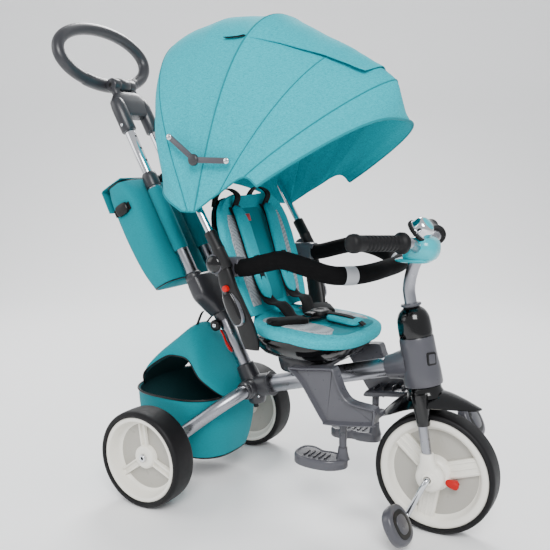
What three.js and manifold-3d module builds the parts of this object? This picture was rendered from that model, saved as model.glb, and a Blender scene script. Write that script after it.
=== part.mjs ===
// Children's push tricycle with a turning seat, folding canopy, bumper bar and parent handle.
// Millimetres, +X forward, +Y to the rider's left, +Z up.
import * as THREE from 'three';
import { mergeVertices } from 'three/addons/utils/BufferGeometryUtils.js';
import Module from 'manifold-3d';

const wasm = await Module();
wasm.setup();

// ---------------------------------------------------------------- driving dimensions
const CENTRE_X = 194;          // rear axle to the middle of the overall length
const GAP = 0.3;               // working gap between touching pieces
const WHEELBASE = 590.7;
const TRACK_HALF = 213.7;      // middle of a rear tyre from the centre plane

const REAR = { tyreR: 109.6, rimR: 96, halfWidth: 31.5, hubR: 26, boreR: 8.3 };
const FRONT = { tyreR: 127, rimR: 115, halfWidth: 25.5, hubR: 34, boreR: 7.6 };

const MAIN_TUBE_R = 20;
const MAIN_RISE = THREE.MathUtils.degToRad(15.8);
const PUSH_LEAN = THREE.MathUtils.degToRad(28.7);
const HEAD_RAKE = THREE.MathUtils.degToRad(11.3);
const PUSH_TUBE_Y = 44;        // each push tube from the centre plane
const PUSH_TUBE_R = 15.3;
const INNER_TUBE_R = 12;
const LEG_PANEL_Y = [103, 133];
const SWIVEL_X = 270;          // upright axis that the seat turns on
const POST_Y = 184;            // canopy posts from the centre plane
const CANOPY_PIVOT = [118, 655];
const RING = { x: -292, z: 1010, halfWidth: 148, halfHeight: 73, tubeR: 14.5, lean: 18 };

const GREY = 0x6b6b70;
const DARK_GREY = 0x4f4f52;
const SILVER = 0x9a9aa0;
const CHROME = 0xc9ccd0;
const BLACK = 0x161617;
const CREAM = 0xedebe4;
const TURQUOISE = 0x57cdd2;
const RED = 0xd8231f;

// ---------------------------------------------------------------- helpers
const vec = (x, y, z) => new THREE.Vector3(x, y, z);

// Turns a mesh's faces outwards if its signed volume is negative.
function outward(geometry) {
  const p = geometry.attributes.position;
  const index = geometry.index.array;
  const a = vec(0, 0, 0);
  const b = vec(0, 0, 0);
  const c = vec(0, 0, 0);
  let volume = 0;
  for (let i = 0; i < index.length; i += 3) {
    a.fromBufferAttribute(p, index[i]);
    b.fromBufferAttribute(p, index[i + 1]);
    c.fromBufferAttribute(p, index[i + 2]);
    volume += a.dot(b.cross(c));
  }
  if (volume < 0) {
    for (let i = 0; i < index.length; i += 3) {
      [index[i], index[i + 1]] = [index[i + 1], index[i]];
    }
  }
  return geometry;
}

function indexed(points, faces) {
  const geometry = new THREE.BufferGeometry();
  const flat = points.flatMap((p) => [p.x, p.y, p.z]);
  geometry.setAttribute('position', new THREE.Float32BufferAttribute(flat, 3));
  geometry.setIndex(faces);
  return outward(geometry);
}

// Closed surface through rings of equal length; the two ends are closed by fans.
function loft(rings, loop = false) {
  const n = rings[0].length;
  const points = rings.flat();
  const faces = [];
  const spans = loop ? rings.length : rings.length - 1;
  for (let i = 0; i < spans; i++) {
    const next = (i + 1) % rings.length;
    for (let j = 0; j < n; j++) {
      const k = (j + 1) % n;
      faces.push(i * n + j, i * n + k, next * n + k, i * n + j, next * n + k, next * n + j);
    }
  }
  if (!loop) {
    for (const [start, turn] of [[0, true], [(rings.length - 1) * n, false]]) {
      const middle = vec(0, 0, 0);
      for (let j = 0; j < n; j++) middle.add(points[start + j]);
      points.push(middle.divideScalar(n));
      const m = points.length - 1;
      for (let j = 0; j < n; j++) {
        const k = (j + 1) % n;
        if (turn) faces.push(m, start + k, start + j);
        else faces.push(m, start + j, start + k);
      }
    }
  }
  return indexed(points, faces);
}

// A sheet of even thickness on one side of a grid of points (rows of equal length).
function thickSheet(grid, thickness, towards) {
  const rows = grid.length;
  const cols = grid[0].length;
  const inner = grid.map((row, i) => row.map((p, j) => {
    const across = grid[i][Math.min(j + 1, cols - 1)].clone().sub(grid[i][Math.max(j - 1, 0)]);
    const along = grid[Math.min(i + 1, rows - 1)][j].clone().sub(grid[Math.max(i - 1, 0)][j]);
    const normal = across.cross(along).normalize();
    if (normal.dot(towards.clone().sub(p)) < 0) normal.negate();
    return p.clone().addScaledVector(normal, thickness);
  }));
  const points = [...grid.flat(), ...inner.flat()];
  const faces = [];
  const id = (side, i, j) => side * rows * cols + i * cols + j;
  const quad = (a, b, c, d) => faces.push(a, b, c, a, c, d);
  for (let i = 0; i < rows - 1; i++) {
    for (let j = 0; j < cols - 1; j++) {
      quad(id(0, i, j), id(0, i, j + 1), id(0, i + 1, j + 1), id(0, i + 1, j));
      quad(id(1, i, j), id(1, i + 1, j), id(1, i + 1, j + 1), id(1, i, j + 1));
    }
    quad(id(0, i, 0), id(0, i + 1, 0), id(1, i + 1, 0), id(1, i, 0));
    quad(id(0, i + 1, cols - 1), id(0, i, cols - 1), id(1, i, cols - 1), id(1, i + 1, cols - 1));
  }
  for (let j = 0; j < cols - 1; j++) {
    quad(id(0, 0, j + 1), id(0, 0, j), id(1, 0, j), id(1, 0, j + 1));
    quad(id(0, rows - 1, j), id(0, rows - 1, j + 1), id(1, rows - 1, j + 1), id(1, rows - 1, j));
  }
  return indexed(points, faces);
}

// Round rod or cone between two points.
function rod(a, b, r, endR = r, sides = 16) {
  const length = a.distanceTo(b);
  const geometry = new THREE.CylinderGeometry(endR, r, length, sides);
  const turn = new THREE.Quaternion();
  turn.setFromUnitVectors(vec(0, 1, 0), b.clone().sub(a).normalize());
  geometry.applyQuaternion(turn);
  const mid = a.clone().add(b).multiplyScalar(0.5);
  return geometry.translate(mid.x, mid.y, mid.z);
}

// Round bar along a smooth curve through points.
function bentBar(points, r, steps = 24, sides = 12) {
  const circle = [];
  for (let i = 0; i < sides; i++) {
    const t = (i / sides) * 2 * Math.PI;
    circle.push(new THREE.Vector2(r * Math.cos(t), r * Math.sin(t)));
  }
  const path = new THREE.CatmullRomCurve3(points, false, 'centripetal');
  const options = { steps, extrudePath: path, bevelEnabled: false };
  return new THREE.ExtrudeGeometry(new THREE.Shape(circle), options);
}

// Block with a size, a centre and an optional turn about Y.
function block(centre, size, turnY = 0) {
  const geometry = new THREE.BoxGeometry(...size);
  geometry.rotateY(turnY);
  return geometry.translate(...centre);
}

// Plate with an outline in the X-Z plane and faces at two Y values.
function plateXZ(outline, y0, y1) {
  const shape = new THREE.Shape(outline.map(([x, z]) => new THREE.Vector2(x, z)));
  const geometry = new THREE.ExtrudeGeometry(shape, { depth: Math.abs(y1 - y0), bevelEnabled: false });
  geometry.rotateX(Math.PI / 2);
  return geometry.translate(0, Math.max(y0, y1), 0);
}

// Ring of points with a super-ellipse outline about a centre.
function oval(centre, axisA, axisB, a, b, power = 2, count = 24) {
  const ring = [];
  for (let i = 0; i < count; i++) {
    const t = ((i + 0.5) / count) * 2 * Math.PI;
    const u = Math.sign(Math.cos(t)) * Math.abs(Math.cos(t)) ** (2 / power);
    const v = Math.sign(Math.sin(t)) * Math.abs(Math.sin(t)) ** (2 / power);
    ring.push(centre.clone().addScaledVector(axisA, a * u).addScaledVector(axisB, b * v));
  }
  return ring;
}

function solidOf(geometry) {
  const bare = geometry.clone();
  bare.deleteAttribute('normal');
  bare.deleteAttribute('uv');
  const merged = mergeVertices(bare, 1e-4);
  return new wasm.Manifold(new wasm.Mesh({
    numProp: 3,
    vertProperties: merged.attributes.position.array,
    triVerts: new Uint32Array(merged.index.array),
  }));
}

function geometryOf(solid) {
  const mesh = solid.getMesh();
  const geometry = new THREE.BufferGeometry();
  geometry.setAttribute('position', new THREE.BufferAttribute(mesh.vertProperties, 3));
  geometry.setIndex(new THREE.BufferAttribute(mesh.triVerts, 1));
  return geometry;
}

const join = (...parts) => geometryOf(parts.map(solidOf).reduce((a, b) => a.add(b)));
const cut = (base, ...tools) => geometryOf(tools.map(solidOf).reduce((a, b) => a.subtract(b),
  solidOf(base)));

const group = new THREE.Group();
const bench = new THREE.Group();
bench.position.x = -CENTRE_X;
group.add(bench);

function add(name, geometry, color, roughness = 0.5, metalness = 0) {
  const material = new THREE.MeshStandardMaterial({ color, roughness, metalness });
  const mesh = new THREE.Mesh(geometry, material);
  mesh.name = name;
  bench.add(mesh);
}

const SIDES = [['left', 1], ['right', -1]];
const X = vec(1, 0, 0);
const Y = vec(0, 1, 0);
const Z = vec(0, 0, 1);

// ---------------------------------------------------------------- frame lines
const HUB = vec(148, 0, 237.9);
const mainDir = vec(Math.cos(MAIN_RISE), 0, Math.sin(MAIN_RISE));
const pushDir = vec(-Math.sin(PUSH_LEAN), 0, Math.cos(PUSH_LEAN));
const pushBack = vec(-Math.cos(PUSH_LEAN), 0, -Math.sin(PUSH_LEAN));
const headDir = vec(-Math.sin(HEAD_RAKE), 0, Math.cos(HEAD_RAKE));
const FRONT_AXLE = vec(WHEELBASE, 0, FRONT.tyreR);
const HEAD_BASE = vec(WHEELBASE + 4, 0, FRONT.tyreR);   // the steering axis passes just ahead of the axle

const alongMain = (s) => HUB.clone().addScaledVector(mainDir, s);
// Point on the line of the push bar: distance up it, sideways, and behind it.
const alongPush = (s, y = 0, back = 0) => HUB.clone().addScaledVector(pushDir, s)
  .addScaledVector(pushBack, back).add(vec(0, y, 0));
const alongHead = (z) => HEAD_BASE.clone().addScaledVector(headDir, (z - FRONT.tyreR) / headDir.z);

// ---------------------------------------------------------------- wheels
// Turned shape on an axle: the flats of its sides lie at the stated radii, with one flat straight down.
const WHEEL_SIDES = 32;
function turned(profile, centre) {
  const geometry = new THREE.LatheGeometry(profile, WHEEL_SIDES);
  const grow = 1 / Math.cos(Math.PI / WHEEL_SIDES);
  geometry.rotateY(Math.PI / WHEEL_SIDES);
  geometry.scale(grow, 1, grow);
  return geometry.translate(centre.x, centre.y, centre.z);
}

function tyre(size, centre) {
  const { tyreR, rimR, halfWidth } = size;
  const depth = tyreR - rimR;
  const half = [
    [rimR, -0.82], [rimR + 0.3 * depth, -1], [rimR + 0.75 * depth, -0.86], [tyreR, -0.42],
  ];
  const other = half.map(([r, w]) => [r, -w]).reverse();
  const profile = [...half, ...other, half[0]].map(([r, w]) => new THREE.Vector2(r, w * halfWidth));
  return turned(profile, centre);
}

// Dished rim with a hub; web and hub faces are given along the axle, out being positive.
function rim(size, centre, side, faces) {
  const outer = size.rimR - GAP;
  const inner = outer - 9;
  const points = [
    [size.boreR, faces.hubIn], [size.hubR, faces.hubIn], [size.hubR, faces.webIn],
    [inner - 8, faces.webIn], [inner, faces.edgeIn], [outer, faces.edgeIn],
    [outer, faces.edgeOut], [inner, faces.edgeOut], [inner - 8, faces.webOut],
    [size.hubR, faces.webOut], [size.hubR, faces.hubOut], [size.boreR, faces.hubOut],
    [size.boreR, faces.hubIn],
  ];
  const profile = points.map(([r, y]) => new THREE.Vector2(r, y * side));
  if (side < 0) profile.reverse();
  return turned(profile, centre);
}

const REAR_FACES = { hubIn: -30, webIn: -8, edgeIn: -26, edgeOut: 27, webOut: -2, hubOut: 12 };
const FRONT_FACES = { hubIn: -28, webIn: -5, edgeIn: -21, edgeOut: 21, webOut: 5, hubOut: 28 };
for (const [name, side] of SIDES) {
  const centre = vec(0, side * TRACK_HALF, REAR.tyreR);
  add(`rear_tyre_${name}`, tyre(REAR, centre), BLACK, 0.6);
  add(`rear_rim_${name}`, rim(REAR, centre, side, REAR_FACES), CREAM, 0.4);
}
add('front_tyre', tyre(FRONT, FRONT_AXLE), BLACK, 0.6);
const frontRim = rim(FRONT, FRONT_AXLE, 1, FRONT_FACES);
const CLUTCH = vec(WHEELBASE + 37, 0, FRONT.tyreR - 12);
add('front_rim', frontRim, CREAM, 0.4);
const clutchBody = block([CLUTCH.x + 4, -16, CLUTCH.z], [26, 20, 12]);
add('clutch_knob', cut(clutchBody, rod(FRONT_AXLE.clone().addScaledVector(Y, -29),
  FRONT_AXLE.clone().addScaledVector(Y, 0), FRONT.hubR + 1.5, FRONT.hubR + 1.5, 32)), RED);

// ---------------------------------------------------------------- frame
const HUB_SIDE = 40;
const mainTube = rod(alongMain(50 + GAP), alongMain(348 - GAP), MAIN_TUBE_R, MAIN_TUBE_R, 28);
add('main_tube', mainTube, SILVER, 0.35, 0.8);

add('rear_hub', join(
  rod(vec(HUB.x, -HUB_SIDE, HUB.z - 1), vec(HUB.x, HUB_SIDE, HUB.z - 1), 22),
  rod(alongMain(0), alongMain(50), 25),
  rod(HUB, alongPush(54), 22, 20),
  rod(vec(HUB.x + 4, 0, HUB.z), vec(HUB.x + 6, 0, HUB.z - 36), 21, 17),
), DARK_GREY);

// Bent rear axle tube with its stub axle and end cap.
function axleTube(side) {
  const y = (v) => side * v;
  const path = [
    vec(HUB.x, y(HUB_SIDE - 6), HUB.z - 1), vec(144, y(58), 234), vec(118, y(96), 211),
    vec(74, y(132), 172), vec(30, y(157), 133), vec(6, y(168), 113), vec(0, y(176), REAR.tyreR),
    vec(0, y(190), REAR.tyreR),
  ];
  const tube = cut(bentBar(path, 15, 14, 14), rod(vec(0, y(182), REAR.tyreR), vec(0, y(230), REAR.tyreR),
    60),
    rod(vec(HUB.x, 0, HUB.z), vec(HUB.x, y(HUB_SIDE + GAP), HUB.z), 60));
  const stubStart = vec(0, y(174), REAR.tyreR);
  const faceOut = TRACK_HALF + REAR_FACES.hubOut;
  return join(
    tube,
    rod(stubStart, vec(0, y(faceOut + 5), REAR.tyreR), 8),
    rod(vec(0, y(faceOut + GAP), REAR.tyreR), vec(0, y(faceOut + 5), REAR.tyreR), 11),
  );
}
for (const [name, side] of SIDES) add(`axle_tube_${name}`, axleTube(side), SILVER, 0.35, 0.8);

const JUNCTION = [190, 292];
add('lower_post', rod(alongPush(54 + GAP), alongPush(JUNCTION[0] - GAP), 16.5), DARK_GREY, 0.4, 0.5);
const junctionRing = (s, a, b) => oval(alongPush(s), Y, pushBack, a, b, 4);
add('junction_block', loft([
  junctionRing(JUNCTION[0], 30, 20), junctionRing(212, 44, 25), junctionRing(240, 61, 26),
  junctionRing(JUNCTION[1] - 6, 62, 24), junctionRing(JUNCTION[1], 61, 20),
]), DARK_GREY);

// Lower push tube with its locking collar; the chrome tube slides inside it.
const COLLAR = [528, 560];
function pushTube(side) {
  const at = (s) => alongPush(s, side * PUSH_TUBE_Y);
  return cut(
    join(rod(at(JUNCTION[1] + GAP), at(COLLAR[1]), PUSH_TUBE_R), rod(at(COLLAR[0]), at(COLLAR[1]), 18.5)),
    rod(at(JUNCTION[1] + 12), at(COLLAR[1] + 5), INNER_TUBE_R + GAP),
  );
}
for (const [name, side] of SIDES) add(`push_tube_${name}`, pushTube(side), SILVER, 0.35, 0.8);

const LEVER_S = 545;
add('clamp_lever', join(
  rod(alongPush(LEVER_S, -24.5), alongPush(LEVER_S, 24.5), 9),
  loft([0, 20, 44, 64].map((d, i) => oval(alongPush(LEVER_S - d, 0, -6 - 3 * i), Y, pushBack,
    13 - i, 5, 4, 16))),
), BLACK);

const INNER_TUBE = [430, 700];
for (const [name, side] of SIDES) {
  const at = (s) => alongPush(s, side * PUSH_TUBE_Y);
  add(`inner_tube_${name}`, rod(at(INNER_TUBE[0]), at(INNER_TUBE[1]), INNER_TUBE_R), CHROME, 0.15, 1);
}

// Yoke: two sleeves on the inner tubes, a bridge and two ears for the ring's pivot.
const RING_PIVOT = alongPush(800);
const ear = (side) => rod(RING_PIVOT.clone().addScaledVector(Y, side * 18.4),
  RING_PIVOT.clone().addScaledVector(Y, side * 38), 17);
const sleeve = (side) => cut(
  rod(alongPush(672, side * PUSH_TUBE_Y), alongPush(756, side * PUSH_TUBE_Y), 17.5),
  rod(alongPush(660, side * PUSH_TUBE_Y), alongPush(INNER_TUBE[1] + GAP, side * PUSH_TUBE_Y),
    INNER_TUBE_R + GAP),
);
const bridge = loft([
  oval(alongPush(722), Y, pushBack, 50, 14, 4), oval(alongPush(760), Y, pushBack, 58, 16, 4),
  oval(alongPush(774), Y, pushBack, 40, 14, 4),
]);
const earLink = (side) => rod(alongPush(762, side * 29), alongPush(796, side * 29), 10);
add('handle_yoke', join(sleeve(1), sleeve(-1), bridge, ear(1), ear(-1), earLink(1), earLink(-1)),
  DARK_GREY);

// Oval handle ring on its own pivot barrel.
function handleRing() {
  const lean = THREE.MathUtils.degToRad(RING.lean);
  const up = vec(-Math.sin(lean), 0, Math.cos(lean));
  const out = vec(Math.cos(lean), 0, Math.sin(lean));
  const centre = vec(RING.x, 0, RING.z);
  const rings = [];
  const count = 28;
  for (let i = 0; i < count; i++) {
    const t = (i / count) * 2 * Math.PI;
    const middle = centre.clone().addScaledVector(Y, RING.halfWidth * Math.cos(t))
      .addScaledVector(up, RING.halfHeight * Math.sin(t));
    const radial = Y.clone().multiplyScalar(RING.halfHeight * Math.cos(t))
      .addScaledVector(up, RING.halfWidth * Math.sin(t)).normalize();
    rings.push(oval(middle, radial, out, RING.tubeR, RING.tubeR, 2, 10));
  }
  const bottom = centre.clone().addScaledVector(up, -RING.halfHeight);
  const barrel = rod(RING_PIVOT.clone().addScaledVector(Y, -18),
    RING_PIVOT.clone().addScaledVector(Y, 18), 17);
  return join(loft(rings, true), barrel, rod(RING_PIVOT, bottom, 14));
}
add('handle_ring', handleRing(), DARK_GREY);

// ---------------------------------------------------------------- head and front fork
const STEERER_R = 13;
const HEAD_Z = [306, 404];
const BOOT_Z = [HEAD_Z[1] + GAP, 470];
const bore = rod(alongHead(280), alongHead(490), STEERER_R + 0.4);
add('head_shell', cut(
  join(rod(alongHead(HEAD_Z[0]), alongHead(HEAD_Z[1]), 39, 35, 28),
    rod(alongMain(348), alongMain(392), 25, 33, 28)),
  bore, rod(alongHead(200), alongHead(HEAD_Z[0]), 60), rod(alongHead(HEAD_Z[1]), alongHead(500), 60),
), GREY);
add('head_boot', cut(join(
  rod(alongHead(BOOT_Z[0]), alongHead(440), 33, 31, 28),
  rod(alongHead(440), alongHead(461), 31, 21, 28),
  rod(alongHead(455), alongHead(BOOT_Z[1]), 19, 20.5, 28),
), bore), BLACK, 0.25);

const LEG_Y = 42;
const LEG_TOP = vec(569, 0, 288);
const LEG_END = vec(584, 0, 178);
const legPoint = (p, side) => vec(p.x, side * LEG_Y, p.z);
const forkParts = (extra) => [
  rod(alongHead(286 - extra), alongHead(455 + extra), STEERER_R + extra, STEERER_R + extra),
  rod(vec(LEG_TOP.x - 5, -LEG_Y, LEG_TOP.z - 2), vec(LEG_TOP.x - 5, LEG_Y, LEG_TOP.z - 2), 10 + extra),
  ...SIDES.map(([, side]) => rod(legPoint(vec(LEG_TOP.x - 5, 0, LEG_TOP.z), side), legPoint(LEG_END, side),
    10 + extra, 10 + extra, 18)),
];
add('fork', join(...forkParts(0)), SILVER, 0.35, 0.8);

// Mudguard: a pointed leaf that arches over the tyre, with a sleeve down each fork leg.
function mudguard() {
  const centreLine = new THREE.CatmullRomCurve3([
    vec(466, 0, 225), vec(502, 0, 266), vec(545, 0, 297), vec(600, 0, 299), vec(641, 0, 289),
    vec(672, 0, 277),
  ]);
  const rows = 10;
  const cols = 7;
  const grid = [];
  for (let i = 0; i <= rows; i++) {
    const t = i / rows;
    const p = centreLine.getPoint(t);
    const width = 6 + 42 * Math.sin(Math.PI * t) ** 0.7;
    const drop = 22 * Math.sin(Math.PI * t) ** 0.8;
    const row = [];
    for (let j = 0; j < cols; j++) {
      const u = (j / (cols - 1)) * 2 - 1;
      row.push(vec(p.x, width * u, p.z - drop * u * u));
    }
    grid.push(row);
  }
  const shell = thickSheet(grid, 5, vec(570, 0, -400));
  const sleeves = SIDES.map(([, side]) => rod(vec(564, side * LEG_Y, 288), vec(575, side * LEG_Y, 240),
    15, 13.5));
  const cap = rod(alongHead(278), alongHead(HEAD_Z[0] - 1.2), 34, 34, 28);
  return cut(join(shell, cap, ...sleeves), ...forkParts(GAP),
    rod(vec(WHEELBASE, -30, FRONT.tyreR), vec(WHEELBASE, 30, FRONT.tyreR), 136, 136, 28));
}
add('mudguard', mudguard(), BLACK, 0.2);

// Cream bearing housing at the foot of each fork leg.
const axleAt = (y) => vec(WHEELBASE, y, FRONT.tyreR);
for (const [name, side] of SIDES) {
  const shell = join(
    rod(axleAt(side * 31), axleAt(side * 50), 30, 26),
    rod(legPoint(vec(WHEELBASE, 0, FRONT.tyreR + 10), side), legPoint(LEG_END, side), 15, 13),
  );
  const trimmed = cut(shell,
    rod(axleAt(side * 29), axleAt(side * 70), FRONT.boreR),
    rod(axleAt(side * 10), axleAt(side * (29 + 1)), 60),
    rod(axleAt(side * 50), axleAt(side * 70), 60),
    rod(legPoint(vec(LEG_END.x, 0, LEG_END.z - GAP), side),
      legPoint(vec(LEG_END.x - 8, 0, LEG_END.z + 44), side), 24));
  add(`fork_end_${name}`, trimmed, CREAM, 0.4);
}

// Crank with a pedal spindle at each end, turned so that the right pedal is low and a little back.
const CRANK = { length: 86, angle: THREE.MathUtils.degToRad(-114.5) };
const crankOffset = vec(Math.cos(CRANK.angle), 0, Math.sin(CRANK.angle)).multiplyScalar(CRANK.length);
const pedalCentre = (side) => FRONT_AXLE.clone().addScaledVector(crankOffset, -side).setY(side * 118);
const crankPath = (side) => {
  const foot = pedalCentre(side);
  return [axleAt(side * 50), axleAt(side * 57), axleAt(0).lerp(foot, 0.12).setY(side * 61),
    axleAt(0).lerp(foot, 0.9).setY(side * 66), foot.clone().setY(side * 70), foot.clone().setY(side * 76)];
};
add('crank', join(
  rod(axleAt(-52), axleAt(52), 6.5), bentBar(crankPath(1), 6.5, 12, 10),
    bentBar(crankPath(-1), 6.5, 12, 10),
  ...SIDES.map(([, side]) => rod(pedalCentre(side).setY(side * 74), pedalCentre(side).setY(side * 146), 5)),
), CHROME, 0.15, 1);

const pedalUp = vec(0.5, 0, -0.866);
const pedalFace = vec(0.866, 0, 0.5);
for (const [name, side] of SIDES) {
  const c = pedalCentre(side);
  const at = (d) => c.clone().addScaledVector(pedalFace, d);
  const body = loft([
    oval(at(-10), Y, pedalUp, 36, 36, 2.4), oval(at(-7), Y, pedalUp, 39, 39, 2.4),
    oval(at(7), Y, pedalUp, 39, 39, 2.4), oval(at(10), Y, pedalUp, 36, 36, 2.4),
  ]);
  add(`pedal_${name}`, cut(body, rod(c.clone().setY(side * 60), c.clone().setY(side * 147), 5.4)), GREY);
}

// ---------------------------------------------------------------- handlebar
const BAR_R = 11;
const GRIP_IN = vec(542, 95, 604);
const GRIP_OUT = vec(489, 208, 611);
const mirror = (p, side) => vec(p.x, side * p.y, p.z);
const stemPath = [
  alongHead(456), alongHead(474), vec(521, 0, 499), vec(523, 0, 522), vec(529, 0, 546),
  vec(538, 0, 568), vec(543, 0, 586),
];
const barPath = [
  mirror(GRIP_OUT, -1), mirror(GRIP_IN, -1), vec(546, -62, 600), vec(545, -22, 588), vec(545, 22, 588),
  vec(546, 62, 600), GRIP_IN, GRIP_OUT,
];
add('handlebar', join(bentBar(stemPath, 12.7, 9, 14), bentBar(barPath, BAR_R, 26, 10)), SILVER, 0.35, 0.8);

for (const [name, side] of SIDES) {
  const a = mirror(GRIP_IN, side);
  const dir = mirror(GRIP_OUT, side).sub(a).normalize();
  const at = (d) => a.clone().addScaledVector(dir, d);
  const length = GRIP_IN.distanceTo(GRIP_OUT);
  const body = join(rod(at(-2), at(12), 21, 20), rod(at(0), at(length + 6), 15.5, 14.5),
    rod(at(length - 8), at(length + 6), 17));
  add(`grip_${name}`, cut(body, bentBar(barPath, BAR_R + 1.4, 26, 10)), BLACK, 0.6);
}

const BELL_DIR = vec(0.76, 0, 0.65);
const BELL = vec(548, -16, 624);
const bellAt = (d) => BELL.clone().addScaledVector(BELL_DIR, d);

// Moulded cover over the stem clamp, with a lip at its foot.
function barCover() {
  const body = loft([
    oval(vec(538, 0, 562), X, Y, 32, 25, 3), oval(vec(541, 0, 568), X, Y, 34, 30, 3),
    oval(vec(544, 0, 580), X, Y, 34, 31, 3), oval(vec(546, 0, 597), X, Y, 29, 28, 3),
    oval(vec(547, 0, 606), X, Y, 18, 17, 3),
  ]);
  return cut(body, bentBar(barPath, BAR_R + 1.6, 26, 10), bentBar(stemPath, 13.4, 9, 14),
    rod(bellAt(-11.5), bellAt(24), 27, 27, 24));
}
add('bar_cover', barCover(), TURQUOISE, 0.35);

add('bell_ring', rod(bellAt(-11), bellAt(-2), 26, 26, 24), BLACK);
add('bell_dome', loft([
  oval(bellAt(-1.6), Y, vec(-0.65, 0, 0.76), 22, 22, 2),
    oval(bellAt(12), Y, vec(-0.65, 0, 0.76), 22, 22, 2),
  oval(bellAt(19), Y, vec(-0.65, 0, 0.76), 16, 16, 2), oval(bellAt(22), Y, vec(-0.65, 0, 0.76), 7, 7, 2),
]), CHROME, 0.15, 1);

// ---------------------------------------------------------------- footrest
// Each half: a curved leg panel, a foot ledge and a half saddle over the main tube.
function footrest(side) {
  const y = LEG_PANEL_Y.map((v) => side * v);
  const panel = plateXZ([
    [313, 336], [405, 349], [416, 346], [424, 326], [438, 300], [456, 286], [500, 281], [507, 276],
    [506, 252], [498, 244], [405, 231], [392, 238], [368, 272], [340, 312],
  ], y[0], y[1]);
  const ledge = plateXZ([[400, 236], [498, 250], [498, 262], [410, 250]], side * 62, side * 104);
  const arm = plateXZ([[318, 312], [372, 327], [372, 337], [318, 326]], side * GAP, side * 104);
  const base = rod(vec(SWIVEL_X, 0, 300), vec(SWIVEL_X, 0, 331), 44, 52, 28);
  const plinth = cut(base, block([SWIVEL_X, side * (GAP / 2 - 50), 315], [160, 100, 60]));
  return cut(join(panel, ledge, arm, plinth), rod(alongMain(20), alongMain(340), MAIN_TUBE_R + GAP,
    MAIN_TUBE_R + GAP, 28));
}
for (const [name, side] of SIDES) add(`footrest_${name}`, footrest(side), GREY);

// Foot pads below the ledges; each swings out on its pin.
const PEG_PIN = vec(418, 84, 0);
function footPad(side) {
  const pin = mirror(PEG_PIN, side);
  const outline = [
    [8, 8], [-6, 16], [-30, 20], [-50, 16], [-62, 22], [-84, 28], [-102, 18], [-106, -6],
    [-98, -30], [-76, -42], [-46, -44], [-16, -38], [4, -22], [12, -6],
  ];
  const ring = (z, grow) => outline.map(([x, y]) => vec(pin.x + x * grow, pin.y - side * y * grow, z));
  const pad = loft([ring(128, 0.96), ring(132, 1), ring(146, 1), ring(150, 0.96)]);
  return join(pad, rod(vec(pin.x, pin.y, 140), vec(pin.x, pin.y, 236), 8, 8, 16));
}
for (const [name, side] of SIDES) add(`foot_pad_${name}`, footPad(side), GREY);

// ---------------------------------------------------------------- turning seat
const SEAT_X = 308;
add('seat_shell', loft([
  oval(vec(SWIVEL_X, 0, 331 + GAP), X, Y, 50, 50, 2), oval(vec(SWIVEL_X + 12, 0, 335), X, Y, 62, 62, 2),
  oval(vec(298, 0, 340), X, Y, 78, 78, 2), oval(vec(300, 0, 348), X, Y, 98, 100, 2.1),
  oval(vec(305, 0, 366), X, Y, 114, 124, 2.4), oval(vec(SEAT_X, 0, 380), X, Y, 122, 137, 2.7),
  oval(vec(SEAT_X, 0, 386), X, Y, 120, 136, 2.8),
]), GREY);
add('seat_cushion', loft([
  oval(vec(SEAT_X + 4, 0, 386 + GAP), X, Y, 108, 124, 3), oval(vec(SEAT_X + 6, 0, 394), X, Y, 118, 134, 3),
  oval(vec(SEAT_X + 6, 0, 406), X, Y, 118, 134, 3), oval(vec(SEAT_X + 4, 0, 412), X, Y, 104, 122, 3),
]), TURQUOISE, 0.95);

// Leaning back: rings up the recline line, moved back by a depth behind the front face.
const BACK_FOOT = vec(214, 0, 436);
const BACK_LEAN = THREE.MathUtils.degToRad(18.5);
const backUp = vec(-Math.sin(BACK_LEAN), 0, Math.cos(BACK_LEAN));
const backOut = vec(-Math.cos(BACK_LEAN), 0, -Math.sin(BACK_LEAN));
const backRing = (s, depth, half, thick, power = 4) => oval(
  BACK_FOOT.clone().addScaledVector(backUp, s).addScaledVector(backOut, depth), Y, backOut, half, thick,
    power);
add('back_cushion', loft([
  backRing(-8, 15, 120, 10), backRing(4, 15, 134, 15), backRing(70, 15, 140, 15),
  backRing(170, 15, 138, 15),
  backRing(226, 15, 128, 15), backRing(252, 15, 104, 13), backRing(262, 16, 70, 9),
]), TURQUOISE, 0.95);
add('back_shell', loft([
  backRing(-4, 38, 104, 7), backRing(10, 38, 128, 7.6), backRing(80, 38, 136, 7.6),
  backRing(170, 38, 134, 7.6),
  backRing(224, 38, 122, 7.6), backRing(248, 38, 98, 7.6), backRing(256, 38, 66, 6),
]), GREY);

// Side bracket: rises from the seat edge to a sleeve round the canopy post.
const postDir = vec(-0.512, 0, 0.859);
const alongPost = (u, side) => vec(164, side * POST_Y, 605).addScaledVector(postDir, u);
const ARM_PIVOT = vec(175, 0, 550);
const BUTTON = vec(204, 0, 502);
function sideBracket(side) {
  const ring = (x, y, z, a, b) => oval(vec(x, side * y, z), X, Y, a, b, 3, 20);
  const arm = loft([
    ring(238, 150, 372, 16, 6), ring(234, 152, 392, 20, 8), ring(226, 162, 430, 20, 9),
    ring(212, 174, 475, 20, 9), ring(203, 182, 505, 19, 9), ring(194, 184, 540, 15, 9),
    ring(187, 184, 560, 11, 8),
  ]);
  const shell = join(arm, rod(alongPost(-72, side), alongPost(10, side), 12.5, 12.5, 20),
    rod(ARM_PIVOT.clone().setY(side * 176), ARM_PIVOT.clone().setY(side * 198), 17, 17, 24));
  return cut(shell, rod(alongPost(-66, side), alongPost(14, side), 8.3, 8.3, 24),
    rod(BUTTON.clone().setY(side * 182), BUTTON.clone().setY(side * 200), 7.4, 7.4, 16));
}
for (const [name, side] of SIDES) {
  add(`side_bracket_${name}`, sideBracket(side), GREY);
  add(`button_${name}`, rod(BUTTON.clone().setY(side * 187), BUTTON.clone().setY(side * 196), 7, 6.4, 20),
    RED);
}

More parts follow.
